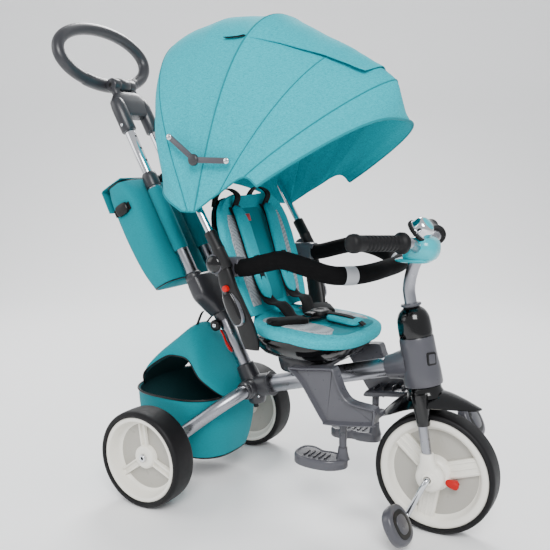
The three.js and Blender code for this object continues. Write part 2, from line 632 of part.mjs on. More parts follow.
// Padded bumper bar and the sockets that it swings up on.
const SOCKET_Y = [151, 171];
const barHalf = (side) => [
  vec(222, side * 161, 542), vec(262, side * 167, 552), vec(325, side * 175, 566),
  vec(372, side * 177, 558),
  vec(417, side * 164, 544), vec(441, side * 142, 540), vec(459, side * 110, 539),
];
const armrestPath = [...barHalf(1), vec(468, 60, 539), vec(468, -60, 539), ...barHalf(-1).reverse()];
add('armrest_bar', bentBar(armrestPath, 18, 34, 12), BLACK, 0.85);
for (const [name, side] of SIDES) {
  const y = (SOCKET_Y[0] + SOCKET_Y[1]) / 2;
  const depth = (SOCKET_Y[1] - SOCKET_Y[0]) / 2;
  const ringAt = (x, a) => oval(vec(x, side * y, 541 + (216 - x) * 0.1), Z, Y, a, depth, 4, 20);
  add(`armrest_socket_${name}`, loft([ringAt(160, 10), ringAt(166, 17), ringAt(205, 21),
    ringAt(216, 21)]), DARK_GREY);
}

// ---------------------------------------------------------------- canopy
for (const [name, side] of SIDES) {
  add(`canopy_post_${name}`, rod(alongPost(-62, side), alongPost(120, side), 8), CHROME, 0.15, 1);
}

// One arch of the canopy: half width, height, lean and squareness across and up.
function arch(x, z, halfWidth, height, leanDeg, n, m, count = 17) {
  const lean = THREE.MathUtils.degToRad(leanDeg);
  const row = [];
  for (let i = 0; i < count; i++) {
    const t = 0.02 + (i / (count - 1)) * (Math.PI - 0.04);
    const c = Math.cos(t);
    const r = height * Math.sin(t) ** (2 / m);
    row.push(vec(x + r * Math.sin(lean), -halfWidth * Math.sign(c) * Math.abs(c) ** (2 / n),
      z + r * Math.cos(lean)));
  }
  return row;
}
const CANOPY_HALF = 199;
const INSIDE = vec(150, 0, 720);
const STAY = { rear: [80.7, 806], knuckle: [143, 760], front: [223, 758], y: 210 };
const rivet = ([x, z], y0, y1, r) => rod(vec(x, y0, z), vec(x, y1, z), r, r, 16);
const [pivotX, pivotZ] = CANOPY_PIVOT;
const rearSkin = thickSheet([
  arch(pivotX - 20, pivotZ, CANOPY_HALF, 125, -62, 2.5, 2.5),
  arch(pivotX - 12, pivotZ, CANOPY_HALF, 275, -33, 2, 3),
  arch(pivotX - 4, pivotZ, CANOPY_HALF, 398, -20.5, 1.7, 3.5),
  arch(pivotX + 4, pivotZ, CANOPY_HALF, 413, -2, 2, 3.2),
  arch(pivotX + 12, pivotZ, CANOPY_HALF, 419, 14.4, 2.3, 3.5),
], 3, INSIDE);
add('canopy_rear', join(rearSkin, ...SIDES.map(([, side]) => rivet(STAY.rear, side * 150, side * STAY.y,
  5))), TURQUOISE, 0.95);
const frontSkin = thickSheet([
  arch(pivotX + 18, pivotZ, CANOPY_HALF, 422, 16, 2.3, 3.5),
  arch(pivotX + 76, pivotZ + 38, 204, 346, 33, 1.9, 2.3),
  arch(256, 726, 208, 296, 49.5, 1.5, 1.5),
  arch(287, 709, 208, 246, 58, 3.2, 1.5),
], 3, INSIDE);
add('canopy_front', frontSkin, TURQUOISE, 0.95);

// Folding stays: two flat links on each side that share a knuckle pin.
function stayLink([ax, az], [bx, bz], y0, y1, hole, pin) {
  const a = vec(ax, 0, az);
  const b = vec(bx, 0, bz);
  const dir = b.clone().sub(a).normalize();
  const side = vec(-dir.z, 0, dir.x).multiplyScalar(6);
  const corner = (p, s) => p.clone().addScaledVector(side, s);
  const strip = [corner(a, 1), corner(b, 1), corner(b, -1), corner(a, -1)].map((p) => [p.x, p.z]);
  const plate = join(plateXZ(strip, y0, y1), rivet([ax, az], y0, y1, 8), rivet([bx, bz], y0, y1, 8));
  const bored = cut(plate, ...hole.map((h) => rivet(h, y0 - 3, y0 + 3 + (y1 - y0), 2.6)));
  return pin ? join(bored, rivet(pin, (y0 + y1) / 2, y1 + Math.sign(y1) * 4, 2.2)) : bored;
}
for (const [name, side] of SIDES) {
  const y = (d) => side * (STAY.y + d);
  add(`stay_rear_${name}`, stayLink(STAY.rear, STAY.knuckle, y(GAP), y(3), [], STAY.knuckle), DARK_GREY);
  add(`stay_front_${name}`, stayLink(STAY.knuckle, STAY.front, y(3.4), y(6.4), [STAY.knuckle], null),
    DARK_GREY);
}

// ---------------------------------------------------------------- soft luggage
const bagRing = (s, near, far, half, power = 4) => oval(
  alongPush(s, 0, (near + far) / 2), Y, pushBack, half, (far - near) / 2, power);
add('bag', loft([
  bagRing(296, 34, 86, 84), bagRing(306, 22, 98, 97), bagRing(350, 20, 104, 102),
    bagRing(430, 20, 106, 104),
  bagRing(520, 22, 104, 103), bagRing(556, 30, 102, 100), bagRing(567, 44, 98, 92),
]), TURQUOISE, 0.95);

// Under-seat basket: a tub with a hooded top that is open at both sides.
const tub = (rings) => loft(rings.map(([x, z, a, b]) => oval(vec(x, 0, z), X, Y, a, b, 2.6, 24)));
const basketOuter = tub([[-12, 66, 98, 84], [-12, 78, 108, 96], [-12, 140, 118, 122], [-14, 222, 124, 138],
  [-22, 262, 112, 112], [-14, 320, 66, 60], [-2, 372, 24, 22]]);
const basketInner = tub([[-12, 74, 94, 80], [-12, 82, 104, 92], [-12, 140, 114, 118], [-14, 222, 120, 134],
  [-22, 262, 107, 107], [-14, 316, 60, 54], [-2, 356, 18, 16]]);
add('basket', cut(basketOuter, basketInner,
  plateXZ([[-118, 222], [88, 222], [62, 262], [20, 300], [-50, 300], [-98, 262]], -160, 160)), BLACK, 0.95);

export default group;
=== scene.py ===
# %% [markdown]
# # A children's push tricycle
# The tricycle has three foam-tyred wheels, a bent-tube frame and a padded seat that turns. A folding
# canopy, a bumper bar, a fabric bag, a basket and a parent's handle are hung on that frame. Each step below
# takes one part of it, says how it is made on the real thing, and picks the simplest modelling tool that
# gives the shape.

# %% Imports and the fixed frame
import math

import bmesh
import bpy
import numpy as np
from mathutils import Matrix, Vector


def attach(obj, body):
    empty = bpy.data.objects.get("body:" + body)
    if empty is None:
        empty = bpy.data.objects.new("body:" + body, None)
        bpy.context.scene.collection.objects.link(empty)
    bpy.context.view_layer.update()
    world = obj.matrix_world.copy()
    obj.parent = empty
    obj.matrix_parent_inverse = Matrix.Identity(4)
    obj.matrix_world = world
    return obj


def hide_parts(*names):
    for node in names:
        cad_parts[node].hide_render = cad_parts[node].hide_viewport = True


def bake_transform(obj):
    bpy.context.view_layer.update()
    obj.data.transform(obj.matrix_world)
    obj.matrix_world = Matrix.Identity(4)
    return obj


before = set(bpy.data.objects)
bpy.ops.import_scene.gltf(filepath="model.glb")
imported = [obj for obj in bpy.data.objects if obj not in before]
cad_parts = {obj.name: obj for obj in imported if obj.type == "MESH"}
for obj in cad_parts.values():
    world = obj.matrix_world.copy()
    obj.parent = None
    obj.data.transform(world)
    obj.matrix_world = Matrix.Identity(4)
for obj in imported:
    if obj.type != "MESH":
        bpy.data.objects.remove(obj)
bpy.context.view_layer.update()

# %% [markdown]
# ## Units and shape helpers
# Sizes are easiest to read in millimetres measured from the rear axle: +X forward, +Y to the rider's left,
# +Z up. `at` turns such a point into the frame's metres. Four makers cover nearly everything: `tube` bends
# a round bar along a curve, `turned` spins a profile, `loft` skins a row of outlines and `slab` extrudes a
# plate.

# %% Shape helpers
CENTRE_X = 194
X, Y, Z = np.eye(3)


def at(p):
    return ((p[0] - CENTRE_X) / 1000, p[1] / 1000, p[2] / 1000)


def vec(*p):
    return np.array(p, float)


def unit(v):
    return np.asarray(v, float) / np.linalg.norm(v)


def spline(rows, count, closed=False):
    """A smooth curve through the rows, with count rows in the result."""
    rows = np.asarray(rows, float)
    n = len(rows)
    last = n if closed else n - 1
    out = []
    for u in np.linspace(0, last, count, endpoint=not closed):
        i = min(int(u), last - 1)
        t = u - i
        a, b, c, d = (rows[k % n] if closed else rows[min(max(k, 0), n - 1)] for k in range(i - 1, i + 3))
        out.append(0.5 * (2 * b + (c - a) * t + (2 * a - 5 * b + 4 * c - d) * t**2
                          + (3 * b - a - 3 * c + d) * t**3))
    return np.array(out)


def oval(centre, u, v, a, b, power=2.0, count=64):
    """A super-ellipse outline: power 2 is an ellipse, more is squarer."""
    t = (np.arange(count) + 0.5) / count * 2 * math.pi
    cu = np.sign(np.cos(t)) * np.abs(np.cos(t)) ** (2 / power)
    cv = np.sign(np.sin(t)) * np.abs(np.sin(t)) ** (2 / power)
    return np.asarray(centre) + a * cu[:, None] * np.asarray(u) + b * cv[:, None] * np.asarray(v)


def loft(rings, closed=False, rows=0):
    """A skin through outlines of equal length; rows > 0 first smooths it to that many outlines."""
    rings = np.asarray(rings, float)
    if rows:
        rings = spline(rings, rows, closed)
    m, n = rings.shape[:2]
    faces = []
    for i in range(m if closed else m - 1):
        k = (i + 1) % m
        for j in range(n):
            q = (j + 1) % n
            faces.append((i * n + j, i * n + q, k * n + q, k * n + j))
    if not closed:
        faces.append(tuple(range(n))[::-1])
        faces.append(tuple((m - 1) * n + j for j in range(n)))
    return rings.reshape(-1, 3), faces


def frames(points, closed=False):
    """Two side directions at each point of a path, carried along it without twisting."""
    if closed:
        ahead = np.roll(points, -1, 0) - np.roll(points, 1, 0)
    else:
        ahead = np.gradient(points, axis=0)
    ahead = np.array([unit(v) for v in ahead])
    start = Y if abs(ahead[0][1]) < 0.9 else Z
    side = unit(start - ahead[0] * (start @ ahead[0]))
    sides = []
    for t in ahead:
        side = unit(side - t * (side @ t))
        sides.append(side)
    sides = np.array(sides)
    return sides, np.cross(ahead, sides)


def tube(points, r, sides=28, count=0, closed=False, flat=1.0):
    """A bar along a path. r is one radius or one per point; flat squeezes the second side direction."""
    pts = np.asarray(points, float)
    r = np.broadcast_to(np.asarray(r, float), len(pts))
    if count:
        both = spline(np.column_stack([pts, r]), count, closed)
        pts, r = both[:, :3], both[:, 3]
    u, v = frames(pts, closed)
    t = np.arange(sides) / sides * 2 * math.pi
    rings = [p + q * (np.outer(np.cos(t), a) + flat * np.outer(np.sin(t), b)) for p, q, a,
             b in zip(pts, r, u, v)]
    return loft(rings, closed)


def turned(start, end, profile, sides=64, smooth=0):
    """A profile of (distance, radius) spun round the line from start to end."""
    start, end = np.asarray(start, float), np.asarray(end, float)
    axis = unit(end - start)
    u = unit(np.cross(axis, Z if abs(axis[2]) < 0.9 else X))
    v = np.cross(axis, u)
    profile = np.asarray(profile, float)
    closed = bool(np.allclose(profile[0], profile[-1]))
    if closed:
        profile = profile[:-1]
    if smooth:
        profile = spline(profile, smooth, closed)
    t = np.arange(sides) / sides * 2 * math.pi
    circle = np.outer(np.cos(t), u) + np.outer(np.sin(t), v)
    rings = [start + axis * s + max(r, 0.01) * circle for s, r in profile]
    return loft(rings, closed)


def slab(outline, centre, u, v, depth):
    """A flat plate: a 2-D outline in the plane of u and v, as thick as depth along their cross product."""
    w = np.cross(u, v)
    flat = np.array([np.asarray(centre) + a * np.asarray(u) + b * np.asarray(v) for a, b in outline])
    return loft([flat - w * depth / 2, flat + w * depth / 2])


def skin(grid, thickness, inwards):
    """A cloth or moulding of even thickness on a grid of points; inwards is a point on its inner side."""
    grid = np.asarray(grid, float)
    normal = np.cross(np.gradient(grid, axis=0), np.gradient(grid, axis=1))
    normal /= np.maximum(np.linalg.norm(normal, axis=2), 1e-9)[..., None]
    flip = np.sign(np.einsum("ijk,ijk->ij", normal, np.asarray(inwards) - grid))
    inner = grid + normal * flip[..., None] * np.asarray(thickness)
    return loft([np.concatenate([row, back[::-1]]) for row, back in zip(grid, inner)])


def combine(*shapes):
    points, faces, base = [], [], 0
    for p, f in shapes:
        points.append(p)
        faces += [tuple(base + i for i in face) for face in f]
        base += len(p)
    return np.concatenate(points), faces


def piece(name, shape, material, body, replaces=(), bevel=0.0, sharp=40, ride=True):
    """Makes the mesh, rounds its edges, marks the sharp ones and lets it ride on its CAD body."""
    points, faces = shape
    mesh = bpy.data.meshes.new(name)
    mesh.from_pydata([at(p) for p in points], [], faces)
    bm = bmesh.new()
    bm.from_mesh(mesh)
    bmesh.ops.remove_doubles(bm, verts=bm.verts, dist=1e-6)
    bmesh.ops.dissolve_degenerate(bm, edges=bm.edges, dist=1e-6)
    bmesh.ops.recalc_face_normals(bm, faces=bm.faces)
    if bevel:
        edges = [e for e in bm.edges if len(e.link_faces) == 2 and e.calc_face_angle(0) > math.radians(sharp)]
        bmesh.ops.bevel(bm, geom=edges, offset=bevel / 1000, segments=3, profile=0.5, affect="EDGES",
                        clamp_overlap=True)
    for edge in bm.edges:
        edge.smooth = not (len(edge.link_faces) == 2 and edge.calc_face_angle(0) > math.radians(sharp))
    for face in bm.faces:
        face.smooth = True
    bm.to_mesh(mesh)
    bm.free()
    obj = bpy.data.objects.new(name, mesh)
    bpy.context.scene.collection.objects.link(obj)
    mesh.materials.append(material)
    if ride:
        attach(obj, body)
    if replaces:
        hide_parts(*replaces)
    return obj


SIDES = (("left", 1), ("right", -1))

# %% [markdown]
# ## Materials
# Every finish is made from noise and colour nodes measured in real sizes. One small function adds a node
# with its settings and links, so a material reads as a short list.

# %% Node helpers


def srgb(code):
    """A screen colour such as 'EDEBE4' as linear red, green, blue and alpha."""
    raw = [int(code[i:i + 2], 16) / 255 for i in (0, 2, 4)]
    return [c / 12.92 if c <= 0.04045 else ((c + 0.055) / 1.055) ** 2.4 for c in raw] + [1.0]


def put(tree, kind, inputs=None, **settings):
    """Adds a node, sets it up and links or fills its inputs."""
    made = tree.nodes.new("ShaderNode" + kind)
    for key, value in settings.items():
        setattr(made, key, value)
    for key, value in (inputs or {}).items():
        if isinstance(value, bpy.types.NodeSocket):
            tree.links.new(value, made.inputs[key])
        else:
            made.inputs[key].default_value = value
    return made


def start_material(name, **shader):
    """A material with one Principled shader; returns it, its node tree, the shader and object coordinates."""
    material = bpy.data.materials.new(name)
    material.use_nodes = True
    tree = material.node_tree
    tree.nodes.clear()
    principled = put(tree, "BsdfPrincipled", {k.replace("_", " "): v for k, v in shader.items()})
    put(tree, "OutputMaterial", {"Surface": principled.outputs[0]})
    place = put(tree, "TexCoord").outputs["Object"]
    return material, tree, principled, place


def noise(tree, place, per_metre, detail=2.0, stretch=(1, 1, 1), rough=0.5):
    """Noise with about per_metre blobs to the metre, stretched along the axes."""
    mapped = put(tree, "Mapping", {"Vector": place, "Scale": stretch}).outputs[0]
    return put(tree, "TexNoise", {"Vector": mapped, "Scale": per_metre, "Detail": detail,
                                  "Roughness": rough}).outputs["Fac"]


def spread(tree, value, low, high):
    """Maps a 0..1 value to low..high."""
    return put(tree, "MapRange", {"Value": value, "From Min": 0.3, "From Max": 0.7, "To Min": low,
                                  "To Max": high}).outputs[0]


def bump(tree, principled, height, strength, metres):
    made = put(tree, "Bump", {"Height": height, "Strength": strength, "Distance": metres})
    tree.links.new(made.outputs[0], principled.inputs["Normal"])


# %% Materials: metals and plastics


def metal(name, colour, low, high):
    material, tree, shader, place = start_material(name, Metallic=1.0, Base_Color=srgb(colour))
    tree.links.new(spread(tree, noise(tree, place, 90, 3), low, high), shader.inputs["Roughness"])
    bump(tree, shader, noise(tree, place, 1400, 2), 0.04, 0.0002)
    return material


def plastic(name, colour, roughness, grain=0.06, coat=0.0, shine=0.5):
    material, tree, shader, place = start_material(name, Base_Color=srgb(colour), Coat_Weight=coat,
                                                   Coat_Roughness=0.08, Specular_IOR_Level=shine)
    mottled = noise(tree, place, 60, 3)
    tree.links.new(spread(tree, mottled, roughness - 0.03, roughness + 0.03), shader.inputs["Roughness"])
    bump(tree, shader, noise(tree, place, 1800, 2), grain, 0.0002)
    return material


SILVER = metal("silver painted steel", "9C9DA3", 0.26, 0.34)
CHROME = metal("chrome plate", "DADCE0", 0.07, 0.12)
GREY = plastic("grey moulded plastic", "48484E", 0.3)
DARK = plastic("dark grey plastic", "2E2E32", 0.34)
GLOSS_BLACK = plastic("gloss black plastic", "040405", 0.14, 0.01, coat=0.2, shine=0.4)
BLACK = plastic("black plastic", "0C0C0D", 0.42, shine=0.35)
CREAM = plastic("cream nylon", "EDEAE0", 0.34, 0.03)
# Greyer than the rim: partly the milky see-through web, partly painted shade in its recess.
CREAM_WEB_SHADED = plastic("milky web plastic with painted shade", "A9A69E", 0.3, 0.03)
TEAL_PLASTIC = plastic("turquoise plastic", "0AA9B6", 0.22, 0.01, coat=0.4)
RED = plastic("red plastic", "B80402", 0.35, 0.02, shine=0.35)
TYRE = plastic("foam tyre", "0E0D0F", 0.55, 0.25, shine=0.25)
FOAM = plastic("black foam sleeve", "070708", 0.85, 0.6, shine=0.1)
GRIP = plastic("soft black grip", "0C0C0E", 0.55, 0.2, shine=0.25)
PRINT = plastic("silver printed band", "9EA0A4", 0.5, 0.02)

# %% [markdown]
# ## Woven cloth
# The canopy and liner are a melange: threads of two turquoise tones cross, so the colour flickers at the
# size of a thread. Long thin noise along two axes gives the slubs, and fine diagonal waves give the weave's
# bump.

# %% Materials: cloth


def cloth(name, dark, light, threads=1400, slub=0.5, rough=0.9, sheen=0.06):
    material, tree, shader, place = start_material(name, Sheen_Weight=sheen, Sheen_Roughness=0.4,
                                                   Roughness=rough, Specular_IOR_Level=0.2)
    across = noise(tree, place, 260, 3, (6, 6, 0.7), 0.7)
    along = noise(tree, place, 260, 3, (0.7, 0.7, 6), 0.7)
    weave = put(tree, "Math", {0: across, 1: along}, operation="ADD").outputs[0]
    half = put(tree, "Math", {0: weave, 1: 0.5}, operation="MULTIPLY").outputs[0]
    ramp = put(tree, "ValToRGB", {"Fac": half})
    ramp.color_ramp.elements[0].position = 0.5 - 0.2 * slub
    ramp.color_ramp.elements[1].position = 0.5 + 0.2 * slub
    ramp.color_ramp.elements[0].color = srgb(dark)
    ramp.color_ramp.elements[1].color = srgb(light)
    tree.links.new(ramp.outputs["Color"], shader.inputs["Base Color"])
    threads_x = put(tree, "TexWave", {"Vector": place, "Scale": threads, "Distortion": 1.0},
                    bands_direction="DIAGONAL")
    both = put(tree, "Math", {0: threads_x.outputs["Fac"], 1: half}, operation="ADD").outputs[0]
    bump(tree, shader, both, 0.12, 0.0004)
    return material


TURQUOISE = cloth("turquoise melange cloth", "008C9A", "18BCCA")
# A darker copy of the turquoise cloth: its darker tone is painted shade on the bag, basket, piping and sunken
# seat panels.
TURQUOISE_SHADED = cloth("turquoise cloth in painted shade", "006F79", "038A95", slub=1.0)
WEBBING = cloth("black webbing", "060607", "121214", slub=1.0, sheen=0.1)
# A near-black turquoise sheet: painted shade inside the basket tub and under its hood.
BASKET_SHADE = cloth("painted shade in the basket", "123034", "1B4549", slub=1.0, sheen=0.0)


def net(name, light, dark, per_metre):
    """Spacer mesh: rows of small round holes."""
    material, tree, shader, place = start_material(name, Roughness=0.8)
    cells = put(tree, "TexVoronoi", {"Vector": place, "Scale": per_metre,
                                     "Randomness": 0.15}).outputs["Distance"]
    ramp = put(tree, "ValToRGB", {"Fac": cells})
    ramp.color_ramp.elements[0].position = 0.32
    ramp.color_ramp.elements[1].position = 0.42
    ramp.color_ramp.elements[0].color = srgb(dark)
    ramp.color_ramp.elements[1].color = srgb(light)
    tree.links.new(ramp.outputs["Color"], shader.inputs["Base Color"])
    bump(tree, shader, cells, 0.5, 0.001)
    return material


MESH = net("grey spacer mesh", "A8ADB2", "4C5358", 330)
print("materials:", len(bpy.data.materials))

# %% [markdown]
# ## Wheels
# Each wheel is a foam tyre pushed on a moulded nylon rim. A turned profile gives both their true sections;
# the three ribbed spokes are plates laid over the recessed web.

# %% Wheels
WHEELBASE = 590.7
TRACK_HALF = 213.7
REAR_R = 109.6
FRONT_R = 127


def tyre_profile(outer, rim, half):
    d = outer - rim
    side = [(-0.84 * half, rim - 0.2), (-0.97 * half, rim + 0.12 * d), (-half, rim + 0.4 * d),
            (-0.95 * half, rim + 0.7 * d), (-0.8 * half, rim + 0.91 * d), (-0.5 * half, outer - 0.3),
            (0, outer)]
    other = [(-s, r) for s, r in side[:-1][::-1]]
    return side + other + [(0, rim - 0.2), side[0]]


def wheel(tag, centre, side, outer, rim_r, half, tyre_node, rim_node, body, rim_section, spokes):
    axis = Y * side
    c = np.asarray(centre, float)
    piece(f"{tag}_tyre_skin", turned(c, c + axis, tyre_profile(outer, rim_r, half), 128, 56), TYRE, body,
          [tyre_node])
    piece(f"{tag}_rim_skin", turned(c, c + axis, rim_section, 128), CREAM, body, [rim_node],
          bevel=0.7, sharp=50)
    # The webs sit deep in the rim; their greyer colour is partly painted shade.
    for k, (depth, r0, r1) in enumerate(spokes["webs"]):
        web = turned(c + axis * (depth - 0.4), c + axis * (depth + 0.4),
                     [(0, r0), (0, r1), (0.8, r1), (0.8, r0), (0, r0)],
                     128)
        piece(f"{tag}_web_{k}", web, CREAM_WEB_SHADED, body)
    for angle in spokes["angles"]:
        a = math.radians(angle)
        out = vec(math.cos(a), 0, math.sin(a))
        across = vec(-math.sin(a), 0, math.cos(a))
        r0, r1 = spokes["from"], spokes["to"]
        for face in spokes["faces"]:
            low, high = sorted((spokes["web"] * face, spokes["top"] * face))
            parts = []
            for offset, width, extra in spokes["ribs"]:
                h0 = low + min(extra * face, 0)
                h1 = high + max(extra * face, 0)
                middle = c + out * (r0 + r1) / 2 + across * offset + axis * (h0 + h1) / 2
                box = [(-(r1 - r0) / 2, -width / 2), ((r1 - r0) / 2, -width / 2), ((r1 - r0) / 2, width / 2),
                       (-(r1 - r0) / 2, width / 2)]
                parts.append(slab(box, middle, out, across, abs(h1 - h0)))
            piece(f"{tag}_spoke_{angle}_{face}", combine(*parts), CREAM, body, bevel=1.4,
                  sharp=50)


REAR_RIM = [(-30, 8.6), (-30, 23), (-28, 26), (-8, 26), (-8, 76), (-12, 82), (-25, 87), (-27, 89),
            (-27, 95.4),
            (-26, 95.8), (26.5, 95.8), (28.5, 94), (28.8, 89.5), (27.5, 86.5), (20, 84.5), (6, 81), (-1, 78),
            (-3, 72), (-3, 27), (9, 25.5), (11.6, 23.5), (12, 20), (12, 8.6), (-30, 8.6)]
REAR_SPOKES = {"angles": (97, -23, 217), "from": 22, "to": 80, "web": -3.2, "top": 1, "faces": (1,),
               "webs": ((-2.8, 27.5, 77), (-8.2, 26.5, 76)), "ribs": ((0, 17, 0), (-6.5, 4, 6), (6.5, 4, 6))}
for name, side in SIDES:
    wheel(f"rear_{name}", (0, side * TRACK_HALF, REAR_R), side, REAR_R, 96, 31.5, f"rear_tyre_{name}",
          f"rear_rim_{name}", f"rear_wheel_{name}", REAR_RIM, REAR_SPOKES)
front_half = [(0, 8), (26, 8), (27, 12), (26, 27), (22, 33), (16, 36), (5, 37), (5, 90), (8, 93), (17, 97.5),
              (20.5, 99), (22.6, 102), (22.6, 110), (21.5, 113.6), (20, 114.8)]
FRONT_RIM = front_half + [(-s, r) for s, r in front_half[::-1]]
FRONT_SPOKES = {"angles": (20, 140, 260), "from": 33, "to": 97, "web": 4.5, "top": 13, "faces": (1, -1),
                "webs": ((5.2, 37.5, 90), (-5.2, 37.5, 90)),
                "ribs": ((0, 36, 0), (-13, 5, 2), (0, 5, 2), (13, 5, 2))}
wheel("front", (WHEELBASE, 0, FRONT_R), 1, FRONT_R, 115, 25.5, "front_tyre", "front_rim", "front_wheel",
      FRONT_RIM, FRONT_SPOKES)
print("wheels done")

# %% [markdown]
# ## Frame
# The frame is bent steel tube held in moulded joints. Straight lines carry most of it: the main tube rises
# forward, the post and push bar share one line that leans back, and the steering axis leans back less.

# %% Frame lines
HUB = vec(148, 0, 237.9)
MAIN_RISE, PUSH_LEAN, HEAD_LEAN = (math.radians(a) for a in (15.8, 28.7, 11.3))
MAIN = vec(math.cos(MAIN_RISE), 0, math.sin(MAIN_RISE))
UP = vec(-math.sin(PUSH_LEAN), 0, math.cos(PUSH_LEAN))
BACK = vec(-math.cos(PUSH_LEAN), 0, -math.sin(PUSH_LEAN))
HEAD = vec(-math.sin(HEAD_LEAN), 0, math.cos(HEAD_LEAN))
PUSH_Y = 44


def on_main(s, y=0.0, up=0.0):
    return HUB + MAIN * s + Y * y + np.cross(MAIN, Y) * -up


def on_push(s, y=0.0, back=0.0):
    return HUB + UP * s + Y * y + BACK * back


def on_head(z):
    return vec(594.7, 0, FRONT_R) + HEAD * (z - FRONT_R) / HEAD[2]


def rod(a, b, r, fillet=1.2, sides=48):
    """A round rod with softened ends."""
    length = float(np.linalg.norm(np.asarray(b) - np.asarray(a)))
    f = min(fillet, r / 2)
    return turned(a, b, [(0, 0), (0, r - f), (f * 0.3, r - f * 0.3), (f, r), (length - f, r),
                         (length - f * 0.3, r - f * 0.3), (length, r - f), (length, 0)], sides)


def screw(name, centre, axis, r, body, material=None):
    """A domed screw or rivet head."""
    c = np.asarray(centre, float)
    a = unit(axis)
    dome = turned(c - a * 1.0, c + a, [(0, 0), (0, r), (1.4, r), (2.2, r * 0.85), (2.8, r * 0.5), (3, 0)], 24)
    return piece(name, dome, material or CHROME, body)


# %% Tubes and joints of the frame
piece("main_tube_skin", rod(on_main(48), on_main(349), 20), SILVER, "frame", ["main_tube"])
piece("main_tube_bolt", combine(rod(on_main(115, 0, -17), on_main(115, 0, -27), 6), rod(on_main(115, 0, -24),
      on_main(115, 0, -30), 4)), DARK, "frame")

hub_forward = turned(on_main(-4), on_main(52), [(0, 0), (0, 21), (4, 24), (14, 26), (46, 26), (52, 25),
                                                (56, 23.5),
                                                (56, 0)])
hub_across = turned(HUB + Y * -41 - Z, HUB + Y * 41 - Z, [(0, 0), (0, 19), (2, 21.5), (16, 22.5), (66, 22.5),
                                                          (80, 21.5), (82, 19), (82, 0)])
hub_up = turned(HUB, on_push(56), [(0, 0), (0, 24), (20, 23.5), (50, 21.5), (55, 20.8), (56, 19.5), (56, 0)])
hub_down = turned(HUB + vec(4, 0, 0), HUB + vec(8, 0, -37), [(0, 0), (0, 24), (24, 22), (35, 19), (37.5, 17),
                                                             (37.5, 0)])
hub_seam = turned(on_main(49), on_main(52), [(0, 0), (0, 27.4), (1, 28), (2.5, 28), (3.5, 27.4), (3.5, 0)])
piece("rear_hub_skin", combine(hub_forward, hub_across, hub_up, hub_down, hub_seam), DARK, "frame",
      ["rear_hub"], sharp=50)
for k, (dx, dz) in enumerate(((24, 14), (24, -14))):
    screw(f"hub_screw_{k}", HUB + vec(dx, -21.5, dz - 1), -Y, 3.4, "frame")
piece("hub_drain", rod(HUB + vec(6, -4, -36), HUB + vec(8, -4, -48), 6), BLACK, "frame")

for name, side in SIDES:
    path = [(HUB[0], side * 34, HUB[2] - 1), (146, side * 58, 234), (119, side * 97, 211),
            (74, side * 132, 172), (30, side * 157, 133),
            (6, side * 169, 113), (0, side * 176, REAR_R), (0, side * 183, REAR_R)]
    piece(f"axle_tube_{name}_skin", combine(tube(path, 15, 32, 60),
                                            rod((0, side * 180, REAR_R), (0, side * 230, REAR_R), 8)),
          SILVER, "frame", [f"axle_tube_{name}"], sharp=60)
    piece(f"axle_collar_{name}", turned((HUB[0], side * 40, HUB[2] - 1), (HUB[0] - 1, side * 48, HUB[2] - 2),
          [(0, 0), (0, 18), (1, 19.5), (6, 19.5), (8, 17.5), (8, 0)]), DARK, "frame")
    piece(f"axle_bolt_{name}", turned((0, side * 226, REAR_R), (0, side * 233, REAR_R),
                                      [(0, 0), (0, 9), (3, 9), (5, 7.5),
          (5.4, 4), (4, 3.4), (4, 0)], 48), CHROME, "frame")

piece("lower_post_skin", rod(on_push(50), on_push(196), 16.5), SILVER, "frame",
      ["lower_post"])
piece("post_socket", turned(on_push(170), on_push(196), [(0, 0), (0, 18), (3, 20), (24, 22), (26, 22),
                                                         (26, 0)]), DARK,
      "frame")

JUNCTION = [(189, 24, 18), (192, 30, 20.5), (212, 43, 25), (236, 60, 26), (252, 62.5, 26.5), (280, 62, 25),
            (288, 60, 22), (291, 56, 18)]
junction = loft([oval(on_push(s), Y, BACK, a, b, 3.2, 72) for s, a, b in JUNCTION], rows=60)
piece("junction_skin", junction, DARK, "frame", ["junction_block"], sharp=60)
for name, side in SIDES:
    ring = turned(on_push(282, side * PUSH_Y), on_push(300, side * PUSH_Y),
                  [(0, 0), (0, 19), (2, 20), (12, 20), (15, 18.5),
                                                                    (17, 16), (17, 0)])
    piece(f"junction_mouth_{name}", ring, DARK, "frame")
    screw(f"junction_screw_{name}", on_push(250, side * 58, -12), (0.5, side, 0.2), 4, "frame",
          BLACK)

# Lower push tubes with their locking collars, the black cam lever between them and the knob on the post.
for name, side in SIDES:
    y = side * PUSH_Y
    piece(f"push_tube_{name}_skin", rod(on_push(290, y), on_push(545, y), 15.3), SILVER, "frame",
          [f"push_tube_{name}"])
    collar = turned(on_push(524, y), on_push(560, y), [(0, 13), (0, 17), (1.5, 18.5), (26, 18.5), (30, 17.4),
                    (34, 16.4), (36, 15), (36, 12.8), (0, 13)])
    piece(f"collar_{name}", collar, DARK, "frame", bevel=0.6)
    piece(f"inner_tube_{name}_skin", rod(on_push(430, y), on_push(700, y), 12), CHROME, "push_bar",
          [f"inner_tube_{name}"])
    for k, s in enumerate((590, 622, 654)):
        stop = turned(on_push(s, y, -11.6), on_push(s, y, -13), [(0, 0), (0, 3.2), (0.6, 3), (0.8, 0)], 20)
        piece(f"tube_stop_{name}_{k}", stop, BLACK, "push_bar")

lever = loft([oval(on_push(545 - d, 0, -7 - h), Y, BACK, w, t, 3, 40) for d, h, w, t in
              ((-10, 0, 8, 3), (-6, 0, 13, 7), (6, 1, 14, 8), (22, 4, 13, 5), (44, 8, 12, 4.4),
               (62, 11, 10, 4),
               (68, 12, 6, 2.6))], rows=40)
piece("clamp_lever_skin", combine(lever, rod(on_push(545, -25), on_push(545, 25), 9)), BLACK, "clamp_lever",
      ["clamp_lever"], sharp=60)

